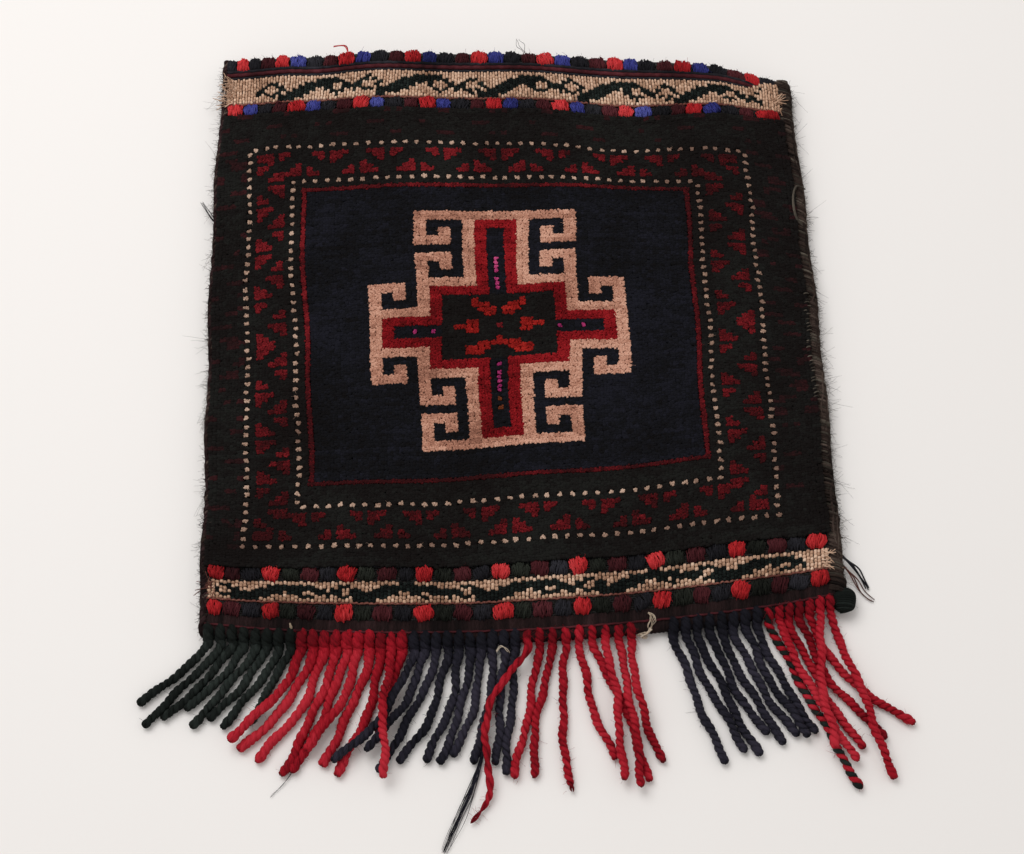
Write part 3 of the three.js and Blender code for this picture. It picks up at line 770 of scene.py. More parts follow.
# One band of stitches in brick order. At its right end it may flare, up to the worn corner of the mouth
def bandStitches(name, base, depth, rows, pitch, period, shift, more, plain, flare):
    columns = int(round(pileWide / pitch))
    c, r = (g.ravel() for g in np.meshgrid(np.arange(columns), np.arange(rows)))
    drift = 1.1 * np.sin(c / 23) + 0.3 * np.sin(c / 6.1)  # the counted repeat strays a little
    dark = bandMotif((c + shift + drift) * repeat / period, r * 6 / (rows - 1) + 0.2 * np.sin(c / 11), more)
    dark &= (c > plain) & (c < columns - 6)
    place = np.zeros((len(c), 3))
    place[:, 0] = pileLeft + (c + 0.5) * pileWide / columns + rng.normal(0, 0.12, len(c))
    place[:, 1] = base + (r + 0.5) * depth / rows + rng.normal(0, 0.16, len(c))
    place[:, 1] += 0.16 * depth / rows * (c % 2 * 2 - 1)  # every second file of stitches stands higher
    size = coords(0.9 * pitch, 1.02 * depth / rows, 1.9 - 0.5 * dark)
    size *= rng.uniform(0.85, 1.12, size.shape)
    taller = 1 + flare * ramp(place[:, 0], pileRight - 24, pileRight - 6)
    place[:, 1] = base + (place[:, 1] - base) * taller
    size[:, 1] *= taller
    points, faces = stamp(bead, beadFaces, place, size, rng.normal(0.05, 0.1, len(c)), np.zeros((len(c), 2)))
    finish = np.concatenate([dark.repeat(10), dark.repeat(6)])
    tone = (shades(len(c), 0.08) - 0.12 * more).repeat(len(bead))
    materials = [yarns["beige"], yarns["bandGreen"]]
    return makePiece(name, onCloth(points), faces, materials, "pile_wool", tone=tone, finish=finish)


# Each band: base, depth, rows, pitch of the stitches, repeat in stitches, its shift, how much thicker,
# the plain stitches at the left, and the flare
upperDepth, lowerDepth = bag["upperBand"] - 6.4, bag["lowerBand"] - 1.4
bandPieces = [
    bandStitches("upper_band_stitches", upperBandBase + 1.2, upperDepth, 8, 2.0, 33.5, 10.8, 0.1, 9, 0.5),
    bandStitches("lower_band_stitches", lowerBandBase + 1.2, lowerDepth, 6, 2.35, 31, 20.8, 0.6, 1, 0),
]


# A plied cord couched straight across the face at one b: it dips under its stitches in a quick wave
def couchedCord(name, b, h, radius, yarn, dip):
    count = 150 if dip == 0 else 700
    a = np.linspace(pileLeft - 1, pileRight + 1, count)
    wave = 0.18 * np.sin(a * 2 * np.pi / 7.5)
    height = h + dip * np.sin(a * 2 * np.pi / 3.1 + 0.8 * np.sin(a / 9))
    if name.startswith("mouth"):  # worn away at the right corner
        height = height - 2.6 * ramp(a, pileRight - 26, pileRight - 12)
    path = onCloth(coords(a, b + wave, height))[None]
    return yarnPiece(name, sweep(path, radius, radius, 7, (0, 0, 1)), yarn, "pile_wool", count, 0.05)


# Each cord: its place up the bag, height over the ground, radius, yarn and dip
upperBandTop = mouthRow - bag["row"] / 2
bandPieces += [
    couchedCord("mouth_plum_cord", upperBandTop - 1.8, 1.0, 1.5, "plum", 0),
    couchedCord("mouth_edge_cord", upperBandTop + 0.9, 1.0, 1.2, "ink", 0),
    couchedCord("mouth_dark_cord", upperBandTop - 4.6, 0.8, 1.1, "ink", 0),
    couchedCord("upper_rose_cord", upperBandBase + 0.6, 0.6, 0.8, "rose", 0.45),
    couchedCord("lower_rose_cord", lowerBandBase + 0.8, 0.5, 0.7, "rose", 0.55),
    couchedCord("hem_plum_cord", 6.2, 1.1, 0.7, "plum", 0),
    couchedCord("pile_base_cord", pileBase + 0.2, 1.2, 1.3, "ink", 0),
]

# Hem under the base row: ribs of dark weft that turn round the fold and fade out underneath
hem = {"rib": 2.5, "rise": 0.75}
ribA = np.arange(pileLeft - 4, pileRight + 4, hem["rib"] / 5)[:, None]
ribRise = hem["rise"] * np.abs(np.cos(ribA * np.pi / hem["rib"])) + 0.15
hemB = np.linspace(bag["hem"] + 0.5, foldMiddle, 7)[None]
hemTurn = np.linspace(np.pi, 0.25 * np.pi, 8)[None, 1:]
foldR = foldHeight / 2 + ribRise * ramp(hemTurn, 0.2 * np.pi, 0.55 * np.pi)
hemRuns = np.concatenate([hemB + 0 * ribA, foldMiddle - foldR * np.sin(hemTurn)], axis=1)
turnZ = backLift(ribA) + foldHeight / 2 - foldR * np.cos(hemTurn)
hemZ = np.concatenate([groundTop(ribA, hemB) + ribRise, turnZ], axis=1)
hemPoints = coords(*plan(ribA, hemRuns), hemZ)
index = np.arange(hemPoints[..., 0].size).reshape(hemPoints.shape[:2])
hemFaces = np.stack([index[:-1, :-1], index[:-1, 1:], index[1:, 1:], index[1:, :-1]], axis=-1).reshape(-1, 4)
hemUv = coords(np.arange(hemPoints.shape[1]) * 1.4, ribA).reshape(-1, 2)
ribMiddles = np.arange(pileLeft - 6, pileRight + 6, hem["rib"])
ribShade = np.interp(ribA[:, 0], ribMiddles, shades(len(ribMiddles), 0.06) - 0.06).repeat(hemPoints.shape[1])
rest = {"uv": hemUv, "tone": ribShade}
hemPoints, hemYarn = hemPoints.reshape(-1, 3), [yarns["hemBrown"]]
bandPieces.append(makePiece("hem_ribs", hemPoints, [hemFaces], hemYarn, "pile_wool", **rest))
print("bands and hem woven")

# Rows of wrapped knots: each knot is a bundle of fine strands in two lobes, arching over the row by
# steps along and up. At the mouth the strands go on round the edge of the cloth
rowKnots = {
    "strands": 30,
    "height": 4.8,
    "yarn": 0.38,
    "parting": 0.22,
    "lump": 0.17,
    "hairs": 26,
    "overRow": [(-1, 0), (-0.94, 0.4), (-0.74, 0.76), (-0.45, 0.95), (-0.15, 1)]
    + [(0.15, 1), (0.45, 0.95), (0.74, 0.76), (0.94, 0.4), (1, 0)],
    "overEdge": [(-0.78, 0), (-0.72, 0.32), (-0.52, 0.62), (-0.2, 0.8), (0.14, 0.86)]
    + [(0.5, 0.84), (0.88, 0.72), (1.12, 0.4), (1.16, 0.0), (1.0, -0.45)],
}
fine, coarse = ["red", "blue", "ink", "plum"], ["red", "green", "plum", "ink"]


# One row: s runs across a knot and the arch along it, the knot a little turned, narrower at its foot,
# its middle parted. drift says how far the knots have crept along, at the quarters of the row
def knotRow(name, middle, wanted, order, first, foot, arch, drift, seed):
    local = np.random.default_rng(seed)
    left, right = pileLeft + 0.3, pileRight - 0.3
    count, strands, hairs = int(round((right - left) / wanted)), rowKnots["strands"], rowKnots["hairs"]
    along, up = (np.array(rowKnots[arch])[None, None, :, k] for k in (0, 1))
    steps = along.shape[-1]
    creep = np.interp(np.linspace(0, 4, count + 1)[1:-1], np.arange(5), drift)
    edges = np.linspace(left, right, count + 1) + np.pad(local.normal(0, 0.5, count - 1) + creep, 1)
    kinds = np.array([order[(k + first) % len(order)] for k in range(count)])
    kinds[0] = "red"
    if arch == "overEdge":  # the mouth's row ends in a dark knot at both corners
        kinds = np.append("ink", kinds)
        kinds[-1] = "ink"
        edges = np.append(left - 2.2, edges)
        edges[1:3] = left + 5.6, left + 14
        count += 1
    wide = np.diff(edges)[:, None, None]
    perKnot, perStrand = (count, 1, 1), (count, strands, 1)
    bright = (kinds == "red")[:, None, None]
    s = np.linspace(-1, 1, strands)[None, :, None] + local.normal(0, 0.03, perStrand)
    plump = np.where(bright, local.uniform(0.92, 1.06, perKnot), local.uniform(0.84, 0.98, perKnot))
    stout = np.where(np.isin(kinds, ["red", "blue"]), 1, 0.8)[:, None, None]  # dark knots are worn lower
    if arch == "overEdge":  # the mouth's last knots are rubbed flat
        stout = stout * (1 - 0.78 * ramp(np.arange(count), count - 6, count - 2)[:, None, None])
    narrow = np.where(bright, foot, 0.93)
    fan = 1 - (1 - narrow) * np.clip(-along, 0, 1) ** 2 - 0.08 * np.clip(along, 0, 1) ** 2
    turned = local.normal(0, 0.14, perKnot)
    half = bag["row"] / 2 * plump * (0.92 if order is coarse else 1)
    a = edges[:-1, None, None] + wide / 2 + s * fan * np.minimum(plump, 0.96) * wide * 0.44
    a = a + turned * along * half
    a = a + 0.55 * np.sin(3.2 * along + local.uniform(0, fullTurn, perStrand))
    b = middle + half * along * (1 - 0.14 * s * s) - turned * s * wide / 2 + local.normal(0, 0.5, perStrand)
    parting = local.normal(0, 0.3, perKnot) + 0.5 * turned * along
    lobes = 1 - rowKnots["parting"] * bell(s, parting, 0.16) - 0.34 * s**4
    lumps = np.sin(5.2 * s + local.uniform(0, fullTurn, perKnot))
    lumps = lumps * np.sin(4.1 * along + local.uniform(0, fullTurn, perKnot))
    lobes = lobes + rowKnots["lump"] * lumps
    h = rowKnots["height"] * stout * plump * lobes * up + local.normal(0, 0.18, perStrand) - 0.2
    paths = onCloth(coords(a, b, h).reshape(count * strands, steps, 3))
    swell = rowKnots["yarn"] * (0.75 + 0.35 * np.clip(up[0], 0, 1))
    used = sorted(set(kinds))
    number = np.array([used.index(k) for k in kinds])
    at = local.integers(0, strands * steps, count * hairs)
    root = paths.reshape(count, -1, 3)[np.arange(count).repeat(hairs), at]
    way = local.normal(0, 0.9, root.shape) + (0, 0, 0.8)
    fluff = fibres(root, way, local.normal(0, 0.9, root.shape), 0.12, 4)
    points, faces, uv = join(sweep(paths, swell, swell * 1.2, 4, (1, 0, 0)), fluff)
    strand, hair = number.repeat(strands), number.repeat(hairs)
    finish = np.concatenate([perFace(strand, steps, 4), perFace(hair, 4, 3)])
    knotTone = local.normal(0, 0.04, count).repeat(strands)
    tone = (shades(count * strands, 0.04) + knotTone).repeat(steps * 4)
    tone = np.concatenate([tone, shades(count * hairs, 0.05).repeat(12) - 0.03])
    materials, title = [yarns[k] for k in used], "wrapped_knots_" + name
    rest = {"uv": uv, "tone": tone, "finish": finish, "nodes": [name + "_knot_row"]}
    return makePiece(title, points, faces, materials, "knot_row_wool", **rest)


# Each row: its place up the bag, wanted pitch, the wools in order and the first of them, how narrow the
# foot of a bright knot is, the arch, the drift and a seed
rowPieces = [
    knotRow("mouth", mouthRow, 11.4, fine, 1, 0.96, "overEdge", (0, -5, -5, -2.5, 0), 1),
    knotRow("upper", upperRow, 11.4, fine, 0, 0.92, "overRow", (0, -3, -7, -9.5, -6), 2),
    knotRow("lower", lowerRow, 11.7, coarse, 1, 0.72, "overRow", (-2, -6, -5, -5, -1), 3),
    knotRow("base", baseRow, 11.7, coarse, 1, 0.8, "overRow", (-2, -7, -4, -2, 0), 4),
]
print("rows of knots wrapped")

# Side bindings: slanting turns of goat hair over the front, round the edge and under the back, a few
# strands to a turn, and longer strands that wander along the seam on top of them
binding = {"thick": 2.3, "slant": 13.0, "scallop": 10.5, "overlay": 0.8, "stations": 150}


# Section of the binding at each b: from the face over the edge to the back, as seven points passed
def seamSection(side, reach, b, thick, swell, stray):
    inner, near = halfWide - reach + stray, halfWide - 0.4 * reach + 0 * b
    edge = halfWide + 0.3
    bulge = [edge + 0.4 * swell, edge + 0.6 * swell, edge + 0.4 * thick]
    out = np.concatenate([inner, near, *bulge, near, inner], axis=1)
    under = side * np.minimum(out, halfWide)
    rise = np.concatenate([0 * b + 0.2, 0.3 + 0.55 * swell, 0.2 + 0.3 * swell], axis=1)
    drop = np.concatenate([0.1 + 0.2 * thick, 0.3 + 0.5 * thick, 0 * b + 0.1], axis=1)
    top, bottom = groundTop(under[:, :3], b) + rise, backLift(under[:, 4:]) - drop
    z = np.concatenate([top, backLift(under[:, 3:4]) + foldHeight / 2, bottom], axis=1)
    slanted = np.clip(b + binding["slant"] * np.linspace(0.5, -0.5, 7)[None], 0.5, bagLength)
    x, y = plan(under, slanted)
    return coords(x + side * np.maximum(0, out - halfWide), y, np.maximum(z, 0.9))


# One seam: turns at even steps with ply strands in each, longer strands whose place on the section
# wanders as two waves from face to edge, and felted fibres
def overcast(name, side, roll, pitch, ply, hair, paleShare, longer, fuzz, seed):
    local = np.random.default_rng(seed)
    reach, stations = bag[name + "Binding"], binding["stations"]
    turns = int((bagLength - foldMiddle) / pitch)
    count = turns * ply
    within = np.tile(np.linspace(-1, 1, ply), turns)[:, None]  # a strand's place in its turn
    middleB = foldMiddle + (np.arange(turns) + 0.5) * (bagLength - foldMiddle) / turns
    b = (middleB + local.normal(0, 0.1 * pitch, turns)).repeat(ply)[:, None]
    b = b + within * 0.36 * pitch + local.normal(0, 0.3, (count, 1))
    # at the left, by the upper band, the turns are worn away
    worn = (side < 0) & (b[:, 0] > upperBandBase + 3) & (b[:, 0] < upperBandBase + bag["upperBand"] - 5)
    thick = binding["thick"] * local.uniform(0.85, 1.1, turns).repeat(ply)[:, None] * (1 - 0.15 * within**2)
    thick = thick * (1 + 0.2 * np.sin(b * 2 * np.pi / binding["scallop"] + 1.3 * np.sin(b / 31)))
    swell = thick * (1 + roll * bell(b, foldMiddle, 24))
    knots = seamSection(side, reach, b, thick, swell, local.normal(0, 0.9, (count, 1)))[~worn]
    count, thick = len(knots), thick[~worn]
    turnPaths = throughPoints(knots, np.linspace(0, 1, 13))
    turnsRound = sweep(turnPaths, 0.42 * thick, 0.62 * pitch / ply + 0 * thick, 6, (0, 1, 0))
    runB = np.linspace(9, bagLength - 8, stations)
    runThick = np.full((stations, 1), binding["thick"] + 0.5)
    runKnots = seamSection(side, reach, runB[:, None], runThick, runThick, 0 * runThick)
    lanes = throughPoints(runKnots, np.linspace(0, 1, 41))
    start, swing, wave = (local.uniform(*ends, (longer, 1)) for ends in ((9, 21), (2, 4), (0, fullTurn)))
    at = np.clip(start + swing * np.sin(runB / 13 + wave) + 1.2 * np.sin(runB / 4.7 + 3 * wave), 3, 25)
    low = at.astype(int)
    part = (at - low)[..., None]
    station = np.arange(stations)[None]
    paths = lanes[station, low] * (1 - part) + lanes[station, low + 1] * part
    bulk = np.clip(0.4 + 0.7 * np.sin(runB / 15 + 5 * wave), 0.04, 1)  # they dive in and come up
    bulk = binding["overlay"] * bulk
    root = lanes[local.integers(0, stations, fuzz), local.integers(3, 26, fuzz)]
    way = local.normal(0, 1.1, (fuzz, 3)) + (0.9 * side, 0, 0.7)
    felt = fibres(root, way, local.normal(0, 1.0, (fuzz, 3)), 0.13, 4)
    points, faces, uv = join(turnsRound, sweep(paths, bulk, bulk, 5, (0, 0, 1)), felt)
    pale, paleLong, paleFuzz = (local.random(n) < paleShare for n in (count, longer, fuzz))
    finish = [perFace(pale, 13, 6), perFace(paleLong, stations, 5), perFace(paleFuzz, 4, 3)]
    strands = ((count, 13 * 6), (longer, stations * 5), (fuzz, 4 * 3))
    tone = np.concatenate([shades(number, 0.08).repeat(corners) for number, corners in strands])
    materials, title = [yarns[kind] for kind in hair], "overcast_" + name
    rest = {"uv": uv, "tone": tone, "finish": np.concatenate(finish), "nodes": [name + "_side_binding"]}
    return makePiece(title, points, faces, materials, "goat_hair_binding", **rest)


# Wisps of goat hair that stand out from a seam in clumps: a clump's hairs share a way, most are short,
# all curl
def wisps(name, side, clumps, hairs, longest, seed):
    local = np.random.default_rng(seed)
    count = clumps * hairs
    b = local.uniform(4, bagLength - 4, clumps).repeat(hairs) + local.normal(0, 2.2, count)
    reach = (1.5 + longest * local.random(clumps) ** 3).repeat(hairs) * local.uniform(0.3, 1, count)
    slant = local.normal(-0.3, 0.6, clumps).repeat(hairs) + local.normal(0, 0.35, count)
    x, y = plan(np.full(count, side * halfWide), np.clip(b, 2, bagLength - 2))
    root = coords(x + side * local.uniform(-2, 2, count), y, local.uniform(3, 9, count))
    way = coords(side * reach, reach * slant, local.normal(-1, 1.5, count))
    bend = local.normal(0, 0.5, (count, 3)) * reach[:, None] - (0, 0, 2)
    return yarnPiece(name, fibres(root, way, bend, 0.1, 6), "bark", "goat_hair_binding", count, 0.08)


# Each seam: side, swell at the foot, pitch of the turns and strands in each, the two hairs and the share
# of the second, then longer strands, felted fibres and a seed. Wisps: clumps, hairs in each, the longest
bindingPieces = [
    overcast("left", -1, 0, 3.4, 2, ("hemBrown", "bark"), 0.2, 2, 1600, 5),
    overcast("right", 1, 0.8, 4.0, 3, ("bark", "moss"), 0.16, 9, 2400, 6),
    wisps("goat_hair_left", -1, 150, 8, 8.0, 7),
    wisps("goat_hair_right", 1, 170, 8, 9.5, 8),
]
print("sides bound")

# Fringe: two-ply cords in groups of one wool, in the order they fell. Each is its root across the fold,
# then the steps from the root that it passes
fringe = {"diameter": 5.0, "rootGap": 0.7, "cordGap": 0.4, "step": 14.0}
fringe |= {"ply": 1.7, "offset": 1.12, "pitch": 8.2}  # radius of a ply, and how it is wound
cordGroups = [
    ("fringeBlack",
     [(-190, (-14, -19), (-41, -41)), (-183, (-16, -24), (-45, -54)), (-176, (-15, -25), (-40, -49)),
      (-169, (-14, -24), (-33, -43)), (-162, (-15, -27), (-38, -53)), (-155, (-14, -27), (-34, -48)),
      (-148, (-14, -29), (-33, -53)), (-141, (-12, -29), (-25, -51))]),
    ("fringeRed",
     [(-134, (-15, -34), (-42, -61)), (-127.2, (-15, -37), (-43, -65)), (-120.4, (-13, -39), (-40, -72)),
      (-113.6, (-12, -41), (-31, -80)), (-106.8, (-12, -41), (-31, -78)), (-100, (-10, -36), (-30, -66)),
      (-93.2, (-8, -33), (-28, -74)), (-86.4, (-6, -37), (-26, -80)), (-73.6, (-8, -31), (-14, -59))]),
    ("fringeNavy",
     [(-66.4, (-18, -44), (-48, -72)), (-59.6, (-13, -37), (-35, -66)), (-52.8, (-12, -37), (-36, -77)),
      (-46, (-10, -42), (-30, -72)), (-39.2, (-7, -42), (-22, -72)), (-32.4, (-6, -39), (-20, -73)),
      (-25.6, (-5, -37), (-18, -69)), (-18.8, (-4, -42), (-14, -74)), (-12, (-3, -38), (-7, -75)),
      (-5.2, (-4, -43), (-8, -81))]),
    ("fringeRed",
     [(-80, (-4, -38), (-4, -83)), (9.5, (-8, -43), (-18, -84)), (17.5, (-10, -42), (-15, -84)),
      (2, (-26, -47), (-24, -89), (-37, -109)), (25.5, (-4, -45), (-1, -93)), (33.5, (6, -41), (18, -75)),
      (41.5, (16, -41), (30, -89)), (49.5, (5, -46), (6, -89)), (57.5, (5, -45), (9, -94)),
      (65, (3, -46), (16, -79))]),
    ("fringeNavy",
     [(91, (11, -42), (25, -83)), (98.3, (13, -40), (31, -77)), (105.6, (14, -42), (31, -80)),
      (112.9, (14, -42), (29, -68)), (120.2, (14, -42), (33, -75)), (127.5, (14, -41), (33, -71)),
      (134.8, (14, -41), (32, -73)), (142.1, (13, -41), (30, -71))]),
    ("fringeRed",
     [(149.4, (20, -51), (45, -106)), (155.6, (15, -47), (38, -91)), (161.8, (16, -47), (36, -84)),
      (168, (17, -46), (46, -79)), (174.2, (19, -42), (56, -71)), (180.4, (-4, -46), (0, -88)),
      (186.6, (12, -49), (27, -106))]),
]
cordRoutes = [(wool, *cord) for wool, cords in cordGroups for cord in cords]


# Level route: straight out of the fold for one diameter, then a smooth curve through the points passed
def levelRoute(root, steps):
    x, y = plan(np.float64(root), 0.0)
    y = y - fringe["rootGap"]
    passed = [(x + across, y + fringe["rootGap"] + along) for across, along in steps]
    path = throughPoints(np.array([(x, y - fringe["diameter"]), *passed]), np.linspace(0, 1, 201))
    length = stepLengths(path).sum()
    return np.concatenate([[(x, y)], evenly(path, int(round(length / fringe["step"])) + 1)])


# Height of each point of a route: the floor, or over what lies there by a circle's rise, the root of the
# square of the reach less that of the distance between cords
def layCords(routes):
    reach = fringe["diameter"] + fringe["cordGap"]
    t = np.linspace(0, 1, 6)[None, :, None]
    laid, paths = np.zeros((0, 3)), []
    for route in routes:
        walk = route[:-1, None] * (1 - t) + route[1:, None] * t
        apart = np.linalg.norm(walk[:, :, None] - laid[None, None, :, :2], axis=-1)
        over = np.where(apart < reach, laid[:, 2] + np.sqrt(np.maximum(reach**2 - apart**2, 0)), 0)
        spans = np.maximum(over.max(axis=(1, 2), initial=0), fringe["diameter"] / 2)
        z = np.maximum(np.append(spans[0], spans), np.append(spans, spans[-1]))
        z[1] = max(z[1], backLift(route[1, 0]) + foldMiddle)
        z[0] = z[1]
        points = np.column_stack([route, z])
        laid = np.concatenate([laid, (points[:-1, None] * (1 - t) + points[1:, None] * t).reshape(-1, 3)])
        paths.append(points)
    return paths


# Two plies wound round a path: each keeps its offset from the middle, closing at the tip, and turns once
# in each pitch, a little unevenly
def plyPaths(path, phase, offset, pitch):
    across, third = waysAcross(path, (0, 0, 1))
    length = np.append(0, stepLengths(path).cumsum())
    uneven = 0.6 * np.sin(length / 6.3 + 3 * phase) + 0.3 * np.sin(length / 2.7 + 5 * phase)
    angle = 2 * np.pi * length / pitch + uneven + np.array([phase, phase + np.pi])[:, None]
    close = offset * (1 - 0.35 * ramp(length, length[-1] - 5, length[-1]))
    swing = close[:, None] * (np.cos(angle)[..., None] * across + np.sin(angle)[..., None] * third)
    return path + swing, length


# A cord's start: out of the hem under its plum cord, over the shoulder of the fold and down to the
# height of its route
def cordRoot(across, height):
    up = np.array([7.0, 3.8 + rng.normal(0, 0.5), 0.2, -2.4])
    x, y = plan(np.full(4, float(across)), up)
    lift = backLift(np.float64(across))
    start, shoulder = groundTop(np.float64(across), 7.0) - 2.8, lift + foldHeight
    z = np.array([start, shoulder + 0.6, shoulder + 0.2, max(height, lift + foldMiddle + 0.8)])
    return coords(x + (rng.normal(0, 0.8), 0, 0, 0), y, z)


slackCords = {31: 30.0, 32: 13.0}  # cords whose last stretch has lost its twist: the length that thins away
looseCord, blackPlyCord = 31, 46  # one cord is hardly twisted, and one has a red and a black ply
cordSides = 7
cordPieces = []
laidPaths = layCords([levelRoute(root, steps) for _, root, *steps in cordRoutes])
for number, (route, points) in enumerate(zip(cordRoutes, laidPaths), 1):
    passed = np.concatenate([cordRoot(route[1], points[1, 2]), points[1:] + (0, 0, 0.4)])
    smooth = throughPoints(passed, np.linspace(0, 1, 400))
    length = stepLengths(smooth).sum()
    path = evenly(smooth, int(length / 1.0))
    run = np.linspace(0, length, len(path))
    stray = 0.8 * np.sin(run / 8 + 2.4 * number) + 0.45 * np.sin(run / 3.6 + 1.3 * number)
    path[:, 0] += stray * ramp(run, 6, 24)  # no cord lies quite smooth
    dark = route[0] != "fringeRed"
    stout = 1.2 if 9 <= number <= 17 else 1.04 if dark else 0.99  # the first reds are the fattest
    full = fringe["ply"] * stout
    offset, pitch = (0.8, 16.0) if number == looseCord else (fringe["offset"], fringe["pitch"])
    plies, walked = plyPaths(path, rng.uniform(0, fullTurn), offset, pitch)
    left = (walked[-1] - walked)[None]
    thin = full * (1 + 0.08 * np.sin(walked / 5 + number) + 0.07 * np.sin(walked / 2.3 + 1.7 * number))
    thin = thin * (1 + 0.12 * bell(left, 4, 3))
    matted = 0.42 if number <= 28 else 0.3 if dark else 0.1  # cords cling together where they leave the hem
    thin = thin * (1 + matted * bell(walked, 11, 8))
    taper = slackCords.get(number, 0)
    if taper:
        thin = thin * (0.35 + 0.65 * ramp(left, 0, taper))
    for run in (walked[None], left):  # both ends round off
        thin = thin * np.sqrt(1 - 0.96 * (1 - np.clip(run / 2.4, 0, 1)) ** 2)
    web = 40 if dark else 24  # fibres that join the roots
    hairs = web + int(length * 1.3)
    at = np.append(rng.uniform(3, 16, web), rng.uniform(2, len(path) - 2, hairs - web)).astype(int)
    root = path[at] + rng.normal(0, 1.2, (hairs, 3))
    way = rng.normal(0, 1.4, root.shape)
    way[:web] = way[:web] * (1.7, 1, 0.6) - (0, 4.0, 0.6)
    fluff = fibres(root, way, rng.normal(0, 1.3, root.shape), 0.1, 4)
    points, faces, uv = join(sweep(plies, thin, thin, cordSides, (0, 0, 1)), fluff)
    tuckShadeAndDirt = 0.16 * (1 - ramp(walked, 5, 17))  # painted shade where the cords tuck under the hem, with some dirt
    tone = (shades(2, 0.04)[:, None] + 0.04 * np.sin(walked / 17 + number)[None] - tuckShadeAndDirt)[..., None]
    rings = points[: 2 * len(path) * cordSides].reshape(2, len(path), cordSides, 3)
    out = np.linalg.norm(rings - path[:, None], axis=-1)  # painted shade in the grooves between the plies, painted highlight on their crests
    # Tone falls in the grooves and rises on the crests: painted shade and painted highlight of the twist
    tone = (tone + np.clip(0.2 * (out - 2.2), -0.2, 0.07)).ravel()
    tone = np.concatenate([tone, shades(hairs, 0.05).repeat(12)])
    title, node = f"twisted_cord_{number:02d}", f"fringe_cord_{number:02d}"
    materials = [yarns[route[0]], yarns["fringeBlack"]]
    blackPly = np.array([0, number == blackPlyCord])
    plyFaces = perFace(blackPly, len(path), cordSides)
    finish = np.concatenate([plyFaces, np.zeros(len(faces[2]) + len(faces[3]), int)])
    slotName = route[0].replace("fringe", "fringe_").lower() + "_wool"
    rest = {"uv": uv, "tone": tone, "finish": finish, "nodes": [node]}
    cordPieces.append(makePiece(title, points, faces, materials, slotName, **rest))
print("fringe laid:", len(cordPieces), "cords")

# Loose ends of an old bag: yarn, thickness at root and tip, strands and their spread, and the points passed
looseEnds = {
    "red_end_at_mouth": ("red", 0.55, 0.3, 2, 0.5,
        [(-109, 205, 15), (-109.2, 214.5, 17), (-112, 219.5, 16.5), (-119.5, 222, 13)]),
    "dark_end_at_mouth": ("ink", 0.2, 0.12, 3, 1.5, [(15, 207, 17), (12.5, 216, 16), (9.5, 226, 12)]),
    "dark_end_at_seam": ("ink", 0.7, 0.4, 3, 1.2,
        [(197, -166, 8), (203, -171, 5), (208.5, -178, 1.6), (212, -186, 1.2)]),
    "rose_end_at_seam": ("rose", 0.5, 0.3, 3, 1.4,
        [(196, -170, 7), (203, -178, 3.5), (208, -188, 1.2), (214.5, -194, 1)]),
    "warp_end_at_hem": ("warp", 0.32, 0.2, 6, 1.2,
        [(76, -199.5, 9), (78, -202.5, 11), (77.5, -206, 10.5), (76, -209, 8)]),
    "warp_ball_at_hem": ("warp", 0.45, 0.3, 7, 1.3,
        [(77, -209, 8), (74.5, -212.5, 7), (71.5, -213.5, 5.5), (74, -214.5, 4)]),
    "warp_knot_at_hem": ("warp", 0.5, 0.4, 2, 0.5,
        [(-141, -200.5, 9.6), (-140.5, -203, 9.4), (-140, -205, 8.6)]),
    "lint_on_fringe": ("warp", 0.28, 0.2, 2, 0.4,
        [(-16.5, -221.5, 7), (-14, -218.5, 8), (-11, -219, 8), (-9, -222, 7)]),
    "frayed_navy_strand": ("fringeNavy", 0.38, 0.08, 18, 1.3,
        [(-24, -272, 4), (-31, -297, 1.4), (-40, -317, 1), (-50, -339, 0.8)]),
    "dark_hair_on_fringe": ("ink", 0.16, 0.1, 2, 0.8,
        [(-136, -286, 3), (-143.5, -297, 1), (-151, -304.5, 0.8)]),
    "dark_end_at_left": ("ink", 0.4, 0.2, 3, 0.8, [(-194, 80, 9), (-200.5, 88, 7), (-208, 102, 4)]),
    "bark_loop_at_right": ("moss", 0.55, 0.5, 2, 0.5,
        [(199, 98, 10), (193, 98, 13), (190, 87, 14), (191, 73, 13), (197, 68, 10)]),
}


# Strands of one loose end: a curve through the points, each strand crinkled and straying most past the
# middle of its run
def looseEnd(name, yarn, thick, tip, strands, spread, passed):
    local = np.random.default_rng(len(name))
    t = np.linspace(0, 1, 26)
    path = throughPoints(np.array(passed, float), t)
    sway = local.normal(0, spread, (strands, 1, 3)) * np.sin(2.3 * t)[None, :, None] ** 2
    sway = sway + local.normal(0, 0.25, (strands, 1, 3))
    sway = sway + 0.3 * spread * np.sin(11 * t[None, :, None] + local.uniform(0, fullTurn, (strands, 1, 3)))
    paths = path[None] + sway * (1, 1, 0.3)
    paths[..., 2] = np.maximum(paths[..., 2], thick)
    radius = thick + (tip - thick) * t
    mesh = sweep(paths, radius, radius, 5, (0.2, 0.1, 0.97))
    return yarnPiece(name, mesh, yarn, "goat_hair_binding", strands, 0.06)


loosePieces = [looseEnd(name, *end) for name, end in looseEnds.items()]


# Frayed yarn ends of a flat band at one side: short curls out of the weave
def bandFray(name, side, base, depth, yarn, count, seed):
    local = np.random.default_rng(seed)
    a = np.where(side > 0, pileRight, pileLeft) - side * local.uniform(0, 5, count)
    place = onCloth(coords(a, base + local.uniform(0, depth, count), 1.6))
    way = coords(side * local.uniform(1, 6, count), local.normal(0, 2, count), local.uniform(-1, 1.5, count))
    mesh = fibres(place, way, local.normal(0, 2.4, (count, 3)), 0.5, 8)
    return yarnPiece(name, mesh, yarn, "pile_wool", count, 0.07)


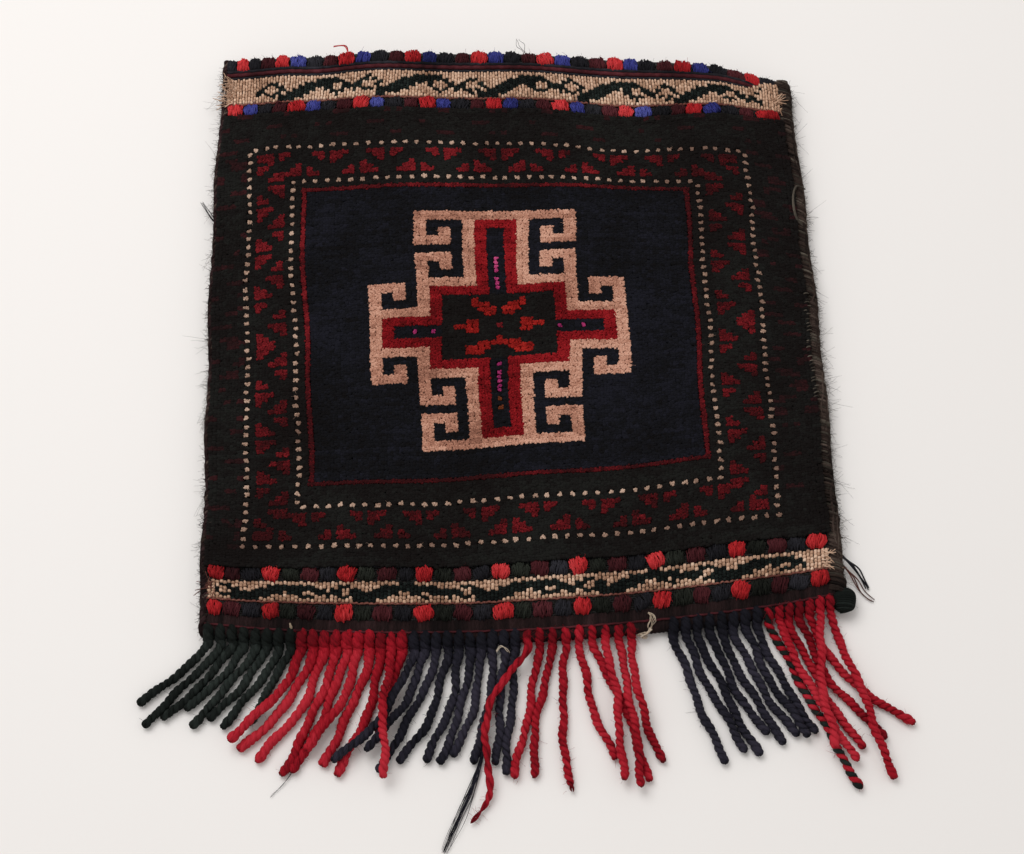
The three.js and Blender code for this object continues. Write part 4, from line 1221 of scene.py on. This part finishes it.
loosePieces += [
    bandFray("upper_band_fray_left", -1, upperBandBase + 2, 19, "beige", 90, 21),
    bandFray("upper_band_fray_right", 1, upperBandBase + 2, 18, "beige", 24, 22),
    bandFray("lower_band_fray_left", -1, lowerBandBase + 1, 12, "rose", 16, 23),
    bandFray("lower_band_fray_right", 1, lowerBandBase + 1, 12, "beige", 22, 24),
]

# Grey mending stitches along the right seam: short slanting arcs from the pile into the binding
mend = {"stitches": 26, "from": 142.0, "to": 232.0, "reach": 4.4, "thick": 0.42}
perStitch = (mend["stitches"], 1)
mendB = np.linspace(mend["from"], mend["to"], mend["stitches"])[:, None] + rng.normal(0, 0.7, perStitch)
mendT = np.linspace(0, 1, 6)[None]
mendA = pileRight - 1.4 + mend["reach"] * mendT + rng.normal(0, 0.5, perStitch)
mendH = 2.2 + 2.0 * np.sin(np.pi * mendT) * rng.uniform(0.7, 1.2, perStitch)
mendPaths = onCloth(coords(mendA, mendB + 1.6 * mendT, mendH))
mesh = sweep(mendPaths, mend["thick"], mend["thick"], 5, (0, 1, 0))
loosePieces.append(yarnPiece("mending_stitches", mesh, "moss", "goat_hair_binding", mend["stitches"], 0.1))

# Corner roll at the base of the right seam: turns of black wool round the corner, each a ring across the
# roll
roll = {"middle": (195.5, -193.8, 6.4), "wide": 7.0, "long": 8.2, "high": 5.6, "turns": 17, "thick": 0.8}
share = np.linspace(-0.94, 0.94, roll["turns"])[:, None]
turn = np.linspace(0, 2 * np.pi, 21)[None]
girth = np.sqrt(1 - share**2) * (1 + 0.04 * np.sin(3 * turn + 5 * share))
rollX = roll["middle"][0] + roll["wide"] * girth * np.cos(turn)
rollY = roll["middle"][1] + roll["long"] * share + 0.8 * np.sin(turn + 4 * share)
rollZ = np.maximum(roll["middle"][2] + roll["high"] * girth * np.sin(turn), 0.9)
mesh = sweep(coords(rollX, rollY, rollZ), roll["thick"], roll["thick"], 6, (0, 1, 0))
loosePieces.append(yarnPiece("corner_roll", mesh, "fringeBlack", "goat_hair_binding", roll["turns"], 0.06))
print("loose ends laid:", len(loosePieces))

# The bag is one sheet of cloth, folded, and everything else is worked into it
everything = pilePieces + bandPieces + rowPieces + bindingPieces + cordPieces + loosePieces

triangles = [len(p.data.loops) - 2 * len(p.data.polygons) for p in [cloth, *everything]]
print("triangles in all:", sum(triangles), "and in the largest piece:", max(triangles))
